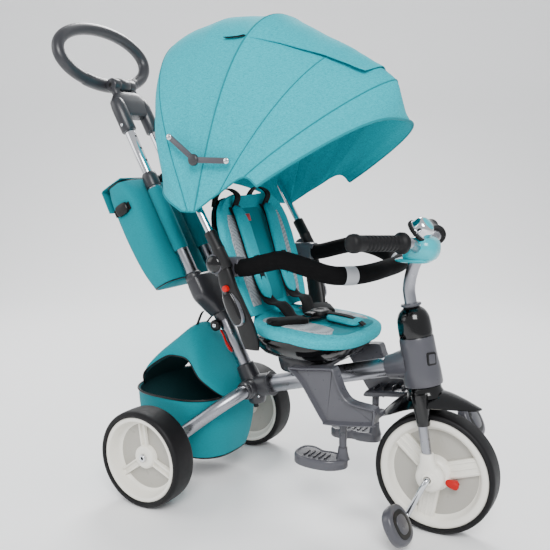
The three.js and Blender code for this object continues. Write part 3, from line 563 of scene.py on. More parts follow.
knob = on_push(166, -15, 14)
piece("post_knob", turned(knob, knob + vec(0, -16, 0), [(0, 0), (0, 9), (4, 9), (5, 13.5), (12, 13.5),
                                                        (15, 11),
      (16, 6), (16, 0)], 60), BLACK, "frame", bevel=0.6)
screw("post_knob_cap", knob + vec(0, -16, 0), -Y, 5, "frame")
pull = spline([on_push(150, -18, 10), on_push(138, -22, 6), on_push(120, -21, 8), on_push(104, -21, 6),
               on_push(94, -20, 4)], 24)
piece("red_pull", tube(pull, [3.5] * 4 + [3.2] * 8 + [4.4] * 8 + [3.2] * 4, 16, flat=0.6), RED, "frame")

# %% [markdown]
# ## Parent's handle
# A yoke joins the two chrome tubes and carries the oval grip ring on a locking pivot. The ring is a closed
# tube swept round an ellipse; the yoke's sleeves are turned and its bridge is a loft.

# %% Handle
PIVOT = on_push(800)
for name, side in SIDES:
    y = side * PUSH_Y
    sleeve = turned(on_push(673, y), on_push(760, y), [(0, 12.5), (0, 16.6), (2, 17.8), (65, 17.8), (81, 16),
                                                       (87, 12),
                    (87, 0)])
    piece(f"yoke_sleeve_{name}", sleeve, DARK, "push_bar", bevel=0.5)
    screw(f"yoke_button_{name}", on_push(690, y + side * 17.3), Y * side, 4, "push_bar")
bridge = loft([oval(on_push(s, 0, b), Y, BACK, a, t, 3.5, 64) for s, b, a, t in
               ((712, 0, 46, 11), (718, 0, 54, 14), (742, 0, 60, 16.5), (756, 0, 56, 16.5),
                (768, 0, 46, 15.5),
                (775, 0, 40, 13))], rows=40)
ears = [turned(PIVOT + Y * side * 18.6, PIVOT + Y * side * 39,
               [(0, 0), (0, 17), (16, 17), (19, 15.5), (20.5, 13),
               (20.5, 0)]) for _, side in SIDES]
links = [rod(on_push(760, side * 30), on_push(797, side * 30), 10.5) for _, side in SIDES]
piece("yoke_skin", combine(bridge, *ears, *links), DARK, "push_bar", ["handle_yoke"],
      sharp=50)
for _, side in SIDES:
    screw(f"yoke_pin_{side}", PIVOT + Y * side * 39, Y * side, 6, "push_bar", BLACK)

ring_lean = math.radians(18)
ring_up = vec(-math.sin(ring_lean), 0, math.cos(ring_lean))
ring_mid = vec(-292, 0, 1010)
t = np.arange(120) / 120 * 2 * math.pi
RING_HALF_WIDTH, RING_HALF_HEIGHT = 148, 73
loop = ring_mid + RING_HALF_WIDTH * np.outer(np.cos(t), Y) + RING_HALF_HEIGHT * np.outer(np.sin(t), ring_up)
ring_foot = ring_mid - RING_HALF_HEIGHT * ring_up
neck = tube([PIVOT, (PIVOT + ring_foot) / 2 + vec(0, 0, -2), ring_foot + vec(-2, 0, 0)], [16, 15.5, 15], 32,
            16)
barrel = turned(PIVOT - Y * 18.2, PIVOT + Y * 18.2, [(0, 0), (0, 16), (2, 18), (34.4, 18), (36.4, 16),
                                                     (36.4, 0)])
piece("handle_ring_skin", combine(tube(loop, 14.5, 32, closed=True), neck, barrel), DARK, "handle",
      ["handle_ring"], sharp=60)
piece("handle_cuff", tube(loop[78:103], [15.2] + [16.4] * 23 + [15.2], 32), DARK, "handle",
      sharp=60)

# %% [markdown]
# ## Head, fork and mudguard
# The head shell is a turned moulding with a lug for the main tube. A black boot and a grey
# ring close it on top. The fork's legs pass through the mudguard and end in cream bearing housings.

# %% Head and fork
head = turned(on_head(305.6), on_head(404), [(0, 14), (0, 36), (1.5, 39), (6, 40), (30, 39.2), (55, 37),
                                             (80, 35.8),
              (97, 35.4), (100, 34.4), (100.3, 32), (100.3, 14), (0, 14)], 96)
lug = turned(on_main(346), on_main(396), [(0, 20.2), (0, 23.5), (1.5, 25), (14, 26.5), (34, 31), (50, 34),
                                          (50, 0)], 64)
piece("head_shell_skin", combine(head, lug), GREY, "frame", ["head_shell"], sharp=35)
boot = turned(on_head(404.4), on_head(462), [(0, 14), (0, 32.6), (1.4, 34), (14, 34.6), (34, 33.6),
                                             (44, 31.2),
              (52, 27), (57, 22), (59, 19), (59, 14), (0, 14)], 96, 80)
piece("head_boot_skin", boot, GLOSS_BLACK, "frame", ["head_boot"], sharp=60)
piece("head_ring", turned(on_head(460), on_head(472), [(0, 13.8), (0, 16.4), (6, 17), (7, 20.6), (11, 21),
      (12, 19.6), (12, 13.8), (0, 13.8)]), GREY, "frame", bevel=0.4)
badge_face = unit(vec(0.86, -0.5, 0.16))
badge_mid = on_head(361) + badge_face * 36.6
badge_u = unit(np.cross(Z, badge_face))
badge_v = np.cross(badge_face, badge_u)
rect = [(a * 11, b * 13) for a, b in ((-1, -0.8), (-0.8, -1), (0.8, -1), (1, -0.8), (1, 0.8), (0.8, 1),
                                      (-0.8, 1),
                                     (-1, 0.8))]
piece("head_badge", slab(rect, badge_mid, badge_u, badge_v, 4), BLACK, "frame", bevel=0.8)
piece("head_badge_plate", slab([(a * 0.72, b * 0.72) for a, b in rect], badge_mid + badge_face * 1.6,
                               badge_u, badge_v, 2),
      GREY, "frame", bevel=0.5)

LEG_Y = 42


def leg_path(side):
    y = side * LEG_Y
    return [(562, side * 34, 292), (566, side * 40, 276), (573, y, 238), (584, y, 176), (588, y, 152)]


fork_tubes = [tube(leg_path(side), 10, 32, 40) for _, side in SIDES]
piece("fork_skin", combine(rod(on_head(286), on_head(456), 13), *fork_tubes), SILVER, "steering",
      ["fork"], sharp=60)


def guard_grid(rows, cols, sink=0.0):
    spine = spline([(462, 0, 222), (483, 0, 248), (506, 0, 270), (536, 0, 291), (566, 0, 300), (604, 0, 298),
                    (641, 0, 288),
                    (675, 0, 275)], rows)
    grid = []
    for i, p in enumerate(spine):
        s = i / (rows - 1)
        wave = math.sin(math.pi * s)
        width = 1.2 + 50 * wave**0.75
        drop = 30 * wave**0.9
        row = []
        for u in np.linspace(-1, 1, cols):
            row.append((p[0] - 4 * abs(u) ** 2 * math.cos(math.pi * s), width * u,
                        p[2] - drop * abs(u) ** 2.2 - sink))
        grid.append(row)
    return grid


guard = skin(guard_grid(64, 41), 3.0, (570, 0, -300))
neck_ring = turned(on_head(284), on_head(304.6), [(0, 14), (0, 44), (6, 38), (14, 35), (20.6, 34.5), (21, 33),
                                                  (21, 14), (0, 14)], 96)
leg_sleeves = [turned((563, side * 39, 296), (576, side * LEG_Y, 234),
                      [(0, 0), (0, 17), (20, 16.4), (52, 14.2),
               (61, 13.6), (63.4, 12.6), (63.4, 0)]) for _, side in SIDES]
piece("mudguard_skin", combine(guard, neck_ring, *leg_sleeves), GLOSS_BLACK, "steering",
      ["mudguard"],
      sharp=55)

AXLE = vec(WHEELBASE, 0, FRONT_R)
for name, side in SIDES:
    a = AXLE + Y * side * 30.4
    disc = turned(a, a + Y * side, [(0, 8), (0, 27), (1.4, 29.4), (8, 30), (14, 28.4), (18, 24.5), (19.5, 20),
                  (20.5, 14), (22, 13), (24, 12.6), (25, 11), (25, 8), (0, 8)], 96)
    arm = loft([oval(vec(588.6 - dx, side * (41 + dy), FRONT_R + h), X, Y, w, d, 2.4, 48) for h, dx, dy, w,
                d in
                ((0, 0, -1, 26, 10), (16, 1, 0, 22, 10.5), (30, 2.4, 0.6, 16.5, 12), (44, 4.2, 1, 14.6, 13),
                 (51, 5, 1, 13.8, 12.8), (52, 5, 1, 12.4, 11.4))], rows=32)
    piece(f"fork_end_{name}_skin", combine(disc, arm), CREAM, "steering",
          [f"fork_end_{name}"],
          sharp=60)

knob_rows = []
for s, w, h in ((0, 4, 4), (2, 8, 6.5), (8, 10, 7), (15, 11, 7.6), (22, 9, 6), (25, 5, 3.5), (26, 1.5, 1.5)):
    knob_rows.append(oval(vec(WHEELBASE + 28 + s, -21.4, FRONT_R - 10 - s * 0.22), Y, Z, 4.4, w * 0.85, 2.6,
                          32))
tab = loft(knob_rows, rows=30)
piece("clutch_skin", combine(tab, slab([(-12, -5), (10, -8), (13, 0), (8, 8), (-10, 6)],
                                       (WHEELBASE + 42, -20.5, 116), X, Z,
      8)), RED, "clutch", ["clutch_knob"], bevel=0.8)

# %% Crank and pedals
turn = math.radians(-114.5)
swing = vec(math.cos(turn), 0, math.sin(turn)) * 86
pedal_mid = {side: AXLE - swing * side + Y * side * 118 for _, side in SIDES}
ARM = [(0, 48), (0, 56), (0.06, 60), (0.2, 63), (0.85, 67), (0.97, 70), (1, 75), (1, 82), (1, 146)]
arms = []
for _, side in SIDES:
    end = pedal_mid[side]
    arms.append(tube([AXLE * (1 - k) + vec(end[0], 0, end[2]) * k + Y * side * y for k, y in ARM], 6, 24, 70))
piece("crank_skin", combine(rod(AXLE - Y * 50, AXLE + Y * 50, 6.5), *arms), CHROME, "crank",
      ["crank"],
      sharp=60)

pedal_face = vec(0.866, 0, 0.5)
along = vec(0.5, 0, -0.866)
for name, side in SIDES:
    c = pedal_mid[side]
    rim_rows = [(-11, 33), (-10.4, 36), (-8, 38.6), (-5, 39.6), (5, 39.6), (8, 38.6), (10.4, 36), (11, 33)]
    body = loft([oval(c + pedal_face * d, Y, along, a, a, 2.5, 96) for d, a in rim_rows])
    piece(f"pedal_{name}_skin", body, GREY, f"pedal_{name}", [f"pedal_{name}"], sharp=60)
    for sign in (1, -1):
        groove = loft([oval(c + pedal_face * sign * d, Y, along, a, a, 2.5, 96) for d,
                       a in ((9, 29), (11.4, 28.6),
                                                                                     (11.7, 27.6),
                                                                                     (11.7, 24))])
        piece(f"pedal_{name}_ring_{sign}", groove, BLACK, f"pedal_{name}", sharp=60)
        pad = loft([oval(c + pedal_face * sign * d, Y, along, a, a, 2.5, 96) for d,
                    a in ((10, 19.4), (12.6, 19),
                                                                                  (13, 18))])
        piece(f"pedal_{name}_pad_{sign}", pad, GREY, f"pedal_{name}", sharp=60)

# %% [markdown]
# ## Handlebar
# The stem is a bent tube that swings forward to the clamp. The bar dips in the middle and sweeps back to
# two ribbed grips. A turquoise cover hides the clamp, and the bell stands in front of it on the right.

# %% Handlebar
stem = [tuple(on_head(452)), tuple(on_head(474)), (521, 0, 499), (523, 0, 522), (529, 0, 546), (538, 0, 568),
        (543, 0, 588)]
half_bar = [(545, 22, 588), (546, 62, 600), (542, 95, 604), (490, 208, 611)]
bar = [(x, -y, z) for x, y, z in half_bar[::-1]] + half_bar
piece("handlebar_skin", combine(tube(stem, 12.7, 32, 60), tube(bar, 11, 28, 90)), SILVER, "steering",
      ["handlebar"], sharp=60)
for name, side in SIDES:
    a = vec(542, side * 95, 604)
    b = vec(490, side * 208, 611)
    length = float(np.linalg.norm(b - a))
    profile = [(-4, 11.2), (-4, 18), (-2.5, 20), (0, 21), (6, 21.2), (9, 20), (11, 17.5), (14, 15.6)]
    for k in range(9):
        s = 20 + k * 9.4
        profile += [(s, 15.4), (s + 1, 14.6), (s + 3, 14.6), (s + 4, 15.4)]
    profile += [(length - 14, 15.4), (length - 9, 17.6), (length - 2, 18), (length + 4, 17), (length + 7, 13),
                (length + 7.6, 0), (length, 0), (-4, 11.2)]
    piece(f"grip_{name}_skin", turned(a, b, profile, 64), GRIP, "steering", [f"grip_{name}"],
          sharp=50)

cover_rows = [(558, 541, 18, 14), (560, 541, 26, 21), (566, 543, 33, 28), (576, 545, 36, 33),
              (588, 546, 36, 35),
              (598, 547, 33, 33), (606, 548, 26, 27), (611, 549, 14, 15), (612, 549, 6, 6)]
cover = loft([oval(vec(x, -2, z), X, Y, a, b, 2.8, 72) for z, x, a, b in cover_rows], rows=48)
piece("bar_cover_skin", cover, TEAL_PLASTIC, "steering", ["bar_cover"], sharp=60)
lip = loft([oval(vec(x, -2, z), X, Y, a, b, 3, 72) for z, x, a, b in ((557, 532, 30, 24), (559, 530, 36, 28),
                                                                     (562, 531, 37, 30), (565, 535, 33, 29))])
piece("bar_cover_lip", lip, TEAL_PLASTIC, "steering", bevel=0.8)

bell_axis = unit(vec(0.76, 0, 0.65))
bell_side = np.cross(Y, bell_axis)
bell = vec(548, -16, 624)
teeth = 30
ring_rows = []
for d, r in ((-11, 23), (-10.4, 25.2), (-9, 26.4), (-3.6, 26.4), (-2.4, 25.2), (-2, 23)):
    a = np.arange(teeth * 6) / (teeth * 6) * 2 * math.pi
    rr = r + 0.9 * np.sin(a * teeth) * (1 if r > 25 else 0)
    ring_rows.append(bell + bell_axis * d + rr[:, None] * (np.outer(np.cos(a), Y) + np.outer(np.sin(a),
                                                                                             bell_side)))
piece("bell_ring_skin", loft(ring_rows), BLACK, "bell", ["bell_ring"], sharp=60)
dome = turned(bell - bell_axis * 2.2, bell + bell_axis, [(0, 0), (0, 22.4), (1, 23.2), (2, 22), (12, 21.6),
                                                         (18, 19.6),
              (22, 15.5), (24, 9), (24.6, 0)], 96, 60)
piece("bell_dome_skin", dome, CHROME, "steering", ["bell_dome"], sharp=60)
piece("bell_cap", turned(bell + bell_axis * 19.4, bell + bell_axis * 24,
                         [(0, 0), (0, 15.8), (2.4, 13), (3.6, 8),
      (4, 0)], 64), TEAL_PLASTIC, "steering", sharp=60)
print("frame, head and handlebar done")

# %% [markdown]
# ## Footrests
# Each footrest is a channel with raised rims that runs back along the frame and ends in a thick ledge. The
# rims and the concave face come from one outline offset inward and pushed back in steps.

# %% Footrests
PANEL = [(313, 336), (345, 341), (405, 349), (417, 346), (424, 328), (438, 300), (456, 286), (500, 281),
         (507, 276),
         (506, 252), (498, 244), (405, 231), (392, 238), (368, 272), (340, 312)]


def smooth_outline(points, count=160):
    return spline([(a, 0, b) for a, b in points], count, closed=True)[:, (0, 2)]


def inset(outline, d):
    """The outline moved inward by d along its normals, softened so it never crosses itself."""
    ahead = np.roll(outline, -1, 0) - np.roll(outline, 1, 0)
    normal = np.column_stack([-ahead[:, 1], ahead[:, 0]])
    normal /= np.maximum(np.linalg.norm(normal, axis=1), 1e-9)[:, None]
    area = np.sum(outline[:, 0] * np.roll(outline[:, 1], -1) - np.roll(outline[:, 0], -1) * outline[:, 1])
    out = outline + normal * d * (1 if area > 0 else -1)
    for _ in range(int(d)):
        out = 0.5 * out + 0.25 * (np.roll(out, 1, 0) + np.roll(out, -1, 0))
    return out


def dished(outline, y_back, y_face, dish, rim):
    """A moulding between two planes of constant y whose outer face is dished inside a raised rim."""
    sign = 1 if y_face > y_back else -1
    steps = [(y_back, 1.5), (y_back + sign * 1.5, 0), (y_face - sign * 1.5, 0), (y_face, 1.5), (y_face, rim),
             (y_face - sign * dish * 0.5, rim + 2), (y_face - sign * dish, rim + 5)]
    return loft([[(a, y, b) for a, b in inset(outline, d)] for y, d in steps])


outline = smooth_outline(PANEL)
for name, side in SIDES:
    panel = dished(outline, side * 104, side * 132.6, 9, 3.2)
    ledge_rows = []
    for y, grow in ((60, -4), (62, -1.5), (66, 0), (92, 0), (108, 0)):
        pts = [(400 - grow, 236 - grow), (450, 243 - grow), (496 + grow, 249 - grow), (503 + grow, 256),
               (497 + grow, 263 + grow),
               (450, 257 + grow), (410, 252 + grow), (399 - grow, 246)]
        ring = smooth_outline(pts, 80)
        ledge_rows.append([(a, side * y, b) for a, b in ring])
    arm_rows = []
    for y, w, t in ((0, 26, 6), (20, 27, 6.5), (70, 28, 7), (100, 30, 8), (108, 32, 9)):
        arm_rows.append(oval(vec(346, side * y, 326.5), vec(0.963, 0, 0.268), vec(-0.268, 0, 0.963), w, t, 4,
                             48))
    piece(f"footrest_{name}_skin", combine(panel, loft(ledge_rows), loft(arm_rows)), GREY, "frame",
          [f"footrest_{name}"], sharp=35)
    ribs = [slab([(-16, -1.6), (16, -1.6), (16, 1.6), (-16, 1.6)],
                 (420 + 22 * k, side * 84, 247.5 + 4.2 * k), Y, X, 24.5)
            for k in range(4)]
    piece(f"ledge_tread_{name}", combine(*ribs), DARK, "frame", bevel=0.6)
plinth = turned((270, 0, 298), (270, 0, 331), [(0, 0), (0, 42), (2, 44), (24, 50), (31, 51), (33, 50),
                                               (33, 0)], 96)
piece("seat_plinth", plinth, DARK, "frame")

PAD = [(8, 8), (-6, 16), (-30, 20), (-50, 16), (-62, 22), (-84, 28), (-102, 18), (-106, -6), (-98, -30),
       (-76, -42),
       (-46, -44), (-16, -38), (4, -22), (12, -6)]
for name, side in SIDES:
    shape = smooth_outline([(418 + a, side * 84 - side * b) for a, b in PAD], 120)
    rows = []
    for z, d in ((128, 3), (129, 1.2), (131, 0), (146, 0), (148.6, 1.2), (149.8, 3), (149.8, 5), (147.8, 6.4),
                 (147.4, 9)):
        rows.append([(a, b, z) for a, b in inset(shape, d)])
    post = rod((418, side * 84, 147), (418, side * 84, 236), 8)
    root = turned((418, side * 84, 146), (418, side * 84, 172),
                  [(0, 0), (0, 15), (3, 13.5), (16, 10.5), (26, 9.6),
                  (26, 0)])
    piece(f"foot_pad_{name}_skin", combine(loft(rows), post, root), GREY, f"foot_pad_{name}",
          [f"foot_pad_{name}"], sharp=60)
    bars = []
    for k in range(5):
        bars.append(slab([(-2, -17 + abs(k - 2) * 2), (2, -17 + abs(k - 2) * 2), (2, 17 - abs(k - 2) * 2),
                          (-2, 17 - abs(k - 2) * 2)], (418 - 30 - k * 12, side * 84 + side * 12, 148.4), X,
                          Y, 3.2))
    piece(f"foot_pad_{name}_tread", combine(*bars), DARK, f"foot_pad_{name}", bevel=0.7)
    screw(f"foot_pad_{name}_bolt", (418, side * 84 - 8, 160), -Y, 3.4, f"foot_pad_{name}")

# %% [markdown]
# ## Seat
# The seat is a glossy moulded bucket on a round turntable foot, and a separate backrest shell that
# reclines. The liner over both is padded cloth: a turquoise border round grey mesh, with quilted seams.

# %% Seat shell
shell_rows = [((270, 0, 331.3), 50, 50), ((276, 0, 333), 57, 56), ((284, 0, 336), 66, 65),
              ((298, 0, 342), 86, 86),
              ((302, 0, 350), 102, 104), ((305, 0, 362), 112, 120), ((308, 0, 376), 119, 134),
              ((309, 0, 386), 123, 138),
              ((309, 0, 391), 124, 139), ((309, 0, 392.5), 122, 137), ((309, 0, 391), 118, 134),
              ((309, 0, 386), 114, 130)]
shell = loft([oval(c, X, Y, a, b, 2.7, 128) for c, a, b in shell_rows])
piece("seat_shell_skin", shell, GLOSS_BLACK, "seat", ["seat_shell"], sharp=60)
dish = loft([oval((270, 0, z), X, Y, r, r, 2, 96) for z, r in ((331.4, 50), (333, 53), (340, 55), (345, 54))])
piece("seat_turntable", dish, DARK, "seat", sharp=60)

back_foot = vec(214, 0, 436)
back_lean = math.radians(18.5)
back_up = vec(-math.sin(back_lean), 0, math.cos(back_lean))
back_out = vec(-math.cos(back_lean), 0, -math.sin(back_lean))
BACK_ROWS = [(-8, 106), (-4, 116), (20, 126), (60, 133), (110, 138), (160, 140), (200, 136), (230, 124),
             (250, 104),
             (260, 78), (263, 56)]
shell_grid = []
for s, w in spline([(s, 0, w) for s, w in BACK_ROWS], 40)[:, (0, 2)]:
    row = []
    for u in np.linspace(-1, 1, 41):
        wrap = 22 * abs(u) ** 3
        row.append(back_foot + back_up * s + Y * w * u + back_out * (45 - wrap))
    shell_grid.append(row)
piece("back_shell_skin", skin(shell_grid, 7, (330, 0, 560)), GLOSS_BLACK, "backrest",
      ["back_shell"],
      sharp=60)

# %% Seat liner


def back_point(s, y, out):
    return back_foot + back_up * s + Y * y + back_out * out


def half_width(s):
    return float(np.interp(s, [r[0] for r in BACK_ROWS], [r[1] for r in BACK_ROWS])) + 2


def cushion(s0, s1, y0, y1, front, back_depth, puff, rows=28, cols=36):
    """A padded panel on the backrest, between two heights and two share-of-width limits."""
    rings = []
    for i in range(rows):
        s = s0 + (s1 - s0) * i / (rows - 1)
        w = half_width(s)
        a, b = w * y0, w * y1
        mid, half = (a + b) / 2, (b - a) / 2
        end = 1 - abs(2 * i / (rows - 1) - 1) ** 6
        loop = []
        for k in range(cols * 2):
            t = (k + 0.5) / (cols * 2) * 2 * math.pi
            cu = math.copysign(abs(math.cos(t)) ** 0.42, math.cos(t))
            sv = math.copysign(abs(math.sin(t)) ** 0.6, math.sin(t))
            y = mid + half * cu
            wrap = -22 * (abs(y) / w) ** 3
            puffed = puff * end * sv
            depth = (front + back_depth) / 2 + wrap - (back_depth - front) / 2 * sv - max(puffed, 0)
            loop.append(back_point(s, y, depth))
        rings.append(loop)
    return loft(rings)


back_pad = cushion(-6, 262, -1.0, 1.0, 10, 36, 3)
pad = piece("back_cushion_skin", back_pad, TURQUOISE, "backrest", ["back_cushion"],
            sharp=60)
# The sunken centre panel takes the darker turquoise, which is painted shade; the side panels are grey mesh.
for tag, a, b, material in (("left_mesh", 0.42, 0.8, MESH), ("right_mesh", -0.8, -0.42, MESH),
                            ("centre", -0.36, 0.36, TURQUOISE_SHADED)):
    panel = piece(f"back_{tag}", cushion(14, 232 if tag == "centre" else 218, a, b, 7, 16, 3.4), material,
                  "backrest",
                  sharp=60)


def sloped(rows):
    """Tips cushion outlines so the seat falls towards the front and rises to meet the back."""
    out = np.array(rows, float)
    drop = (312 - out[..., 0]) * 0.075
    rise = 16 * np.clip((235 - out[..., 0]) / 45, 0, 1) ** 2
    out[..., 2] += drop + rise
    return out


seat_rows = []
for z, a, b in ((384, 104, 120), (388, 120, 136), (396, 125, 140), (404, 126, 141), (410, 124, 138),
                (414, 114, 128),
                (414.8, 94, 108)):
    seat_rows.append(oval((315, 0, z), X, Y, a, b, 2.7, 128))
pad = piece("seat_cushion_skin", loft(sloped(spline(seat_rows, 40))), TURQUOISE, "seat",
            ["seat_cushion"], sharp=70)


def seat_panel(name, cx, cy, a, b, power, z0, z1, material):
    rows = []
    for z, g in ((z0, 0.96), (z0 + (z1 - z0) * 0.4, 1.0), (z0 + (z1 - z0) * 0.75, 0.97), (z1, 0.86),
                 (z1 + 0.4, 0.7)):
        rows.append(oval((cx, cy, z), X, Y, a * g, b * g, power, 72))
    made = piece(name, loft(sloped(spline(rows, 24))), material, "seat", sharp=70)
    return made


for name, side in SIDES:
    seat_panel(f"seat_{name}_mesh", 310, side * 78, 84, 34, 3, 410, 418, MESH)
# The sunken front and middle panels take the darker turquoise, which is painted shade.
seat_panel("seat_front_panel", 388, 0, 34, 92, 3, 408, 417, TURQUOISE_SHADED)
seat_panel("seat_middle_panel", 290, 0, 70, 36, 3, 410, 417.6, TURQUOISE_SHADED)
print("seat done")

# %% [markdown]
# ## Harness
# Shoulder pads with webbing, lap straps and a crotch pad meet at a round buckle. Every strap is a flat cut
# strip that follows a smooth path over the cushions, so it is built as a ribbon along points lying on the
# padding.

# %% Straps


def ribbon(points, across, width, thick, count=60):
    """A flat strap along a path; across is its width direction at the start and end."""
    pts = spline(points, count)
    ahead = np.gradient(pts, axis=0)
    a0, a1 = (unit(v) for v in across)
    rings = []
    for i, p in enumerate(pts):
        k = i / (count - 1)
        side = a0 * (1 - k) + a1 * k
        side = unit(side - unit(ahead[i]) * (side @ unit(ahead[i])))
        up = np.cross(unit(ahead[i]), side)
        h, t = width / 2, thick / 2
        rings.append([p + side * h * a + up * t * b for a, b in
                      ((-1, -0.5), (-0.97, -1), (-0.5, -1), (0, -1), (0.5, -1), (0.97, -1), (1, -0.5),
                       (1, 0.5),
                       (0.97, 1), (0.5, 1), (0, 1), (-0.5, 1), (-0.97, 1), (-1, 0.5))])
    length = float(np.sum(np.linalg.norm(np.diff(pts, axis=0), axis=1)))
    return loft(rings), length


def strap(name, points, across, width, thick, body):
    """A strip of webbing of an even width, with its cut length measured along its path."""
    shape, length = ribbon(points, across, width, thick)
    made = piece(name, shape, WEBBING, body, sharp=60)
    return made


SHOULDER = [(236, 2), (214, -5), (180, -6), (140, -6), (100, -6), (62, -7), (30, -10), (12, -20), (2, -40)]


def strap_y(side, s):
    """Where the shoulder straps lie across the back: they close in a little towards the seat."""
    return side * (64 - 0.05 * (232 - s))


def taper(k, power=8):
    """How full a pad is along its length: 1 over the middle and 0 at both ends."""
    return (1 - abs(2 * k - 1) ** power) ** 0.5


for name, side in SIDES:
    path = [back_point(s, strap_y(side, s), out) for s, out in SHOULDER]
    path += [vec(276, side * 36, 424), vec(300, side * 18, 430)]
    strap(f"shoulder_strap_{name}", path, (Y, Y), 46, 1.8, "backrest")
    pad_rows = []
    for i, s in enumerate(np.linspace(238, 22, 36)):
        k = i / 35
        w = 20 * taper(k) + 1
        out = float(np.interp(-s, [-v[0] for v in SHOULDER], [v[1] for v in SHOULDER])) - 4
        centre = back_point(s, strap_y(side, s), out)
        pad_rows.append(oval(centre, Y, back_out, w, 5.5 * taper(k) + 0.6, 3, 32))
    soft = piece(f"shoulder_pad_{name}", loft(pad_rows), TURQUOISE, "backrest", sharp=70)
    strap(f"shoulder_top_{name}", [back_point(s, strap_y(side, s), -16) for s in (120, 90, 60, 30)],
          (Y, Y), 20, 1.6, "backrest")
    loops = [back_point(236, side * 62, 0), back_point(254, side * 63, -14), back_point(270, side * 64, -6),
             back_point(280, side * 66, 14), back_point(272, side * 68, 36), back_point(250, side * 68, 50)]
    strap(f"top_loop_{name}", loops, (Y, Y), 22, 1.8, "backrest")
    lap = [vec(262, side * 122, 424), vec(280, side * 96, 424), vec(300, side * 62, 424),
           vec(318, side * 34, 425),
           vec(326, side * 20, 427)]
    strap(f"lap_strap_{name}", lap, (Z * 0.4 + X * 0.9, X), 24, 1.8, "seat")
    lap_rows = []
    for k in np.linspace(0, 1, 26):
        c = vec(258 + 52 * k, side * (118 - 72 * k), 423)
        w = 22 * taper(k) + 1
        lap_rows.append(oval(c, unit(vec(0.86, side * 0.5, 0)), Z, w, 7 * taper(k) + 0.5, 3, 32))
    soft = piece(f"lap_pad_{name}", loft(lap_rows), WEBBING, "seat", sharp=70)

crotch_rows = []
for k in np.linspace(0, 1, 30):
    c = vec(340 + 76 * k, 0, 426 - 7 * k)
    w = (24 + 6 * k) * taper(k, 7) + 1
    crotch_rows.append(oval(c, Y, Z, w, 6 * taper(k, 7) + 0.6, 2.6, 32))
soft = piece("crotch_pad", loft(crotch_rows), TURQUOISE, "seat", sharp=70)
strap("crotch_strap", [vec(322, 0, 431), vec(344, 0, 432.4), (366, 0, 432), (390, 0, 429), (410, 0, 423),
                       (424, 0, 415)],
      (Y, Y), 20, 1.6, "seat")
buckle_mid = vec(318, 0, 432)
plate = loft([oval(buckle_mid + Z * d, X, Y, r, r * 1.12, 2.6, 72) for d, r in
              ((-5, 18), (-4, 20), (3, 20), (5, 18), (6, 14), (6.2, 9), (5, 8.4), (5, 4))])
piece("buckle", plate, BLACK, "seat", sharp=50)
for name, side in SIDES:
    tongue = loft([oval(buckle_mid + vec(-8, side * d, 0), X, Z, a, b, 4, 32) for d, a, b in
                   ((14, 9, 3.5), (18, 10.5, 4), (34, 11, 4), (38, 9, 3))])
    piece(f"buckle_tongue_{name}", tongue, BLACK, "seat", sharp=50)
tag = slab([(-13, -8), (13, -8), (13, 8), (-13, 8)], back_point(206, -50, -14), Y, back_up, 1)
piece("red_tag", tag, RED, "backrest", bevel=0.3)

# %% [markdown]
# ## Side brackets, armrest and buttons
# The bracket moulding rises from the seat, carries the bumper bar's pivot and holds the canopy post in a
# sleeve.

# %% Brackets
POST_FOOT = {side: vec(164, side * 184, 605) for _, side in SIDES}
POST = unit(vec(-0.512, 0, 0.859))
BRACKET = [(238, 150, 370, 17, 6), (234, 152, 392, 21, 8.4), (226, 162, 430, 21.5, 9.6),
           (212, 174, 475, 21, 10),
           (203, 182, 505, 20, 10), (194, 184, 540, 16, 10), (187, 184, 562, 11, 8)]
for name, side in SIDES:
    rings = [oval((x, side * y, z), X, Y, a, b, 2.8, 64) for x, y, z, a, b in BRACKET]
    shape = loft(rings, rows=60)
    post_foot = POST_FOOT[side]
    sleeve = turned(post_foot - POST * 74, post_foot + POST * 12,
                    [(0, 8.3), (0, 11), (2, 12.6), (40, 12.8), (42, 13.6), (46, 13.6),
                    (48, 12.8), (82, 12.8), (85, 11.4), (86, 8.3), (0, 8.3)])
    piece(f"side_bracket_{name}_skin", combine(shape, sleeve), BLACK, "seat",
          [f"side_bracket_{name}"],
          sharp=60)
    pivot = vec(175, side * 176, 550)
    disc = turned(pivot, pivot + Y * side, [(0, 0), (0, 20), (2, 21), (16, 21), (19, 19.6), (20, 18.4),
                                            (20, 0)], 96)
    piece(f"pivot_rim_{name}", disc, GREY, "seat")
    cap = turned(pivot + Y * side * 19, pivot + Y * side * 30,
                 [(0, 0), (0, 18), (2, 17.4), (5, 14), (6.6, 8), (7, 0)], 96)
    piece(f"pivot_cap_{name}", cap, GLOSS_BLACK, "seat", sharp=60)
    housing_axis = unit(vec(-0.44, 0, 0.9))
    mid = vec(215, side * 181, 462)
    rim = loft([oval(mid + Y * side * d, housing_axis, np.cross(Y, housing_axis), a, b, 2.6, 96) for d, a,
                b in
                ((0, 40, 17), (6, 40, 17), (8, 38.6, 15.6), (8.2, 36.6, 14))])
    piece(f"housing_rim_{name}", rim, SILVER, "seat", sharp=40)
    shell = loft([oval(mid + Y * side * d, housing_axis, np.cross(Y, housing_axis), a, b, 2.6, 96) for d, a,
                  b in
                  ((6, 37.4, 14.8), (9.4, 37, 14.4), (11, 34, 12), (11.6, 27, 8), (11.8, 12, 3))])
    piece(f"housing_{name}", shell, GLOSS_BLACK, "seat", sharp=60)
    b = vec(204, side * 186.6, 502)
    push = turned(b, b + Y * side, [(0, 0), (0, 6.6), (11, 6.6), (13.2, 6), (14, 4), (14.2, 0)], 48)
    piece(f"button_{name}_skin", push, RED, f"button_{name}", [f"button_{name}"], sharp=50)
    block = loft([oval((190 + d, side * 161, 542 + d * 0.06), Z, Y, h, w, 4, 64) for d, h, w in
                  ((-30, 17, 9), (-28, 20, 10), (-4, 21, 10.4), (18, 21, 12), (26, 20, 15), (30, 19.4, 16),
                   (31, 18, 14.6))], rows=40)
    piece(f"armrest_socket_{name}_skin", block, GREY, "armrest", [f"armrest_socket_{name}"],
          sharp=60)

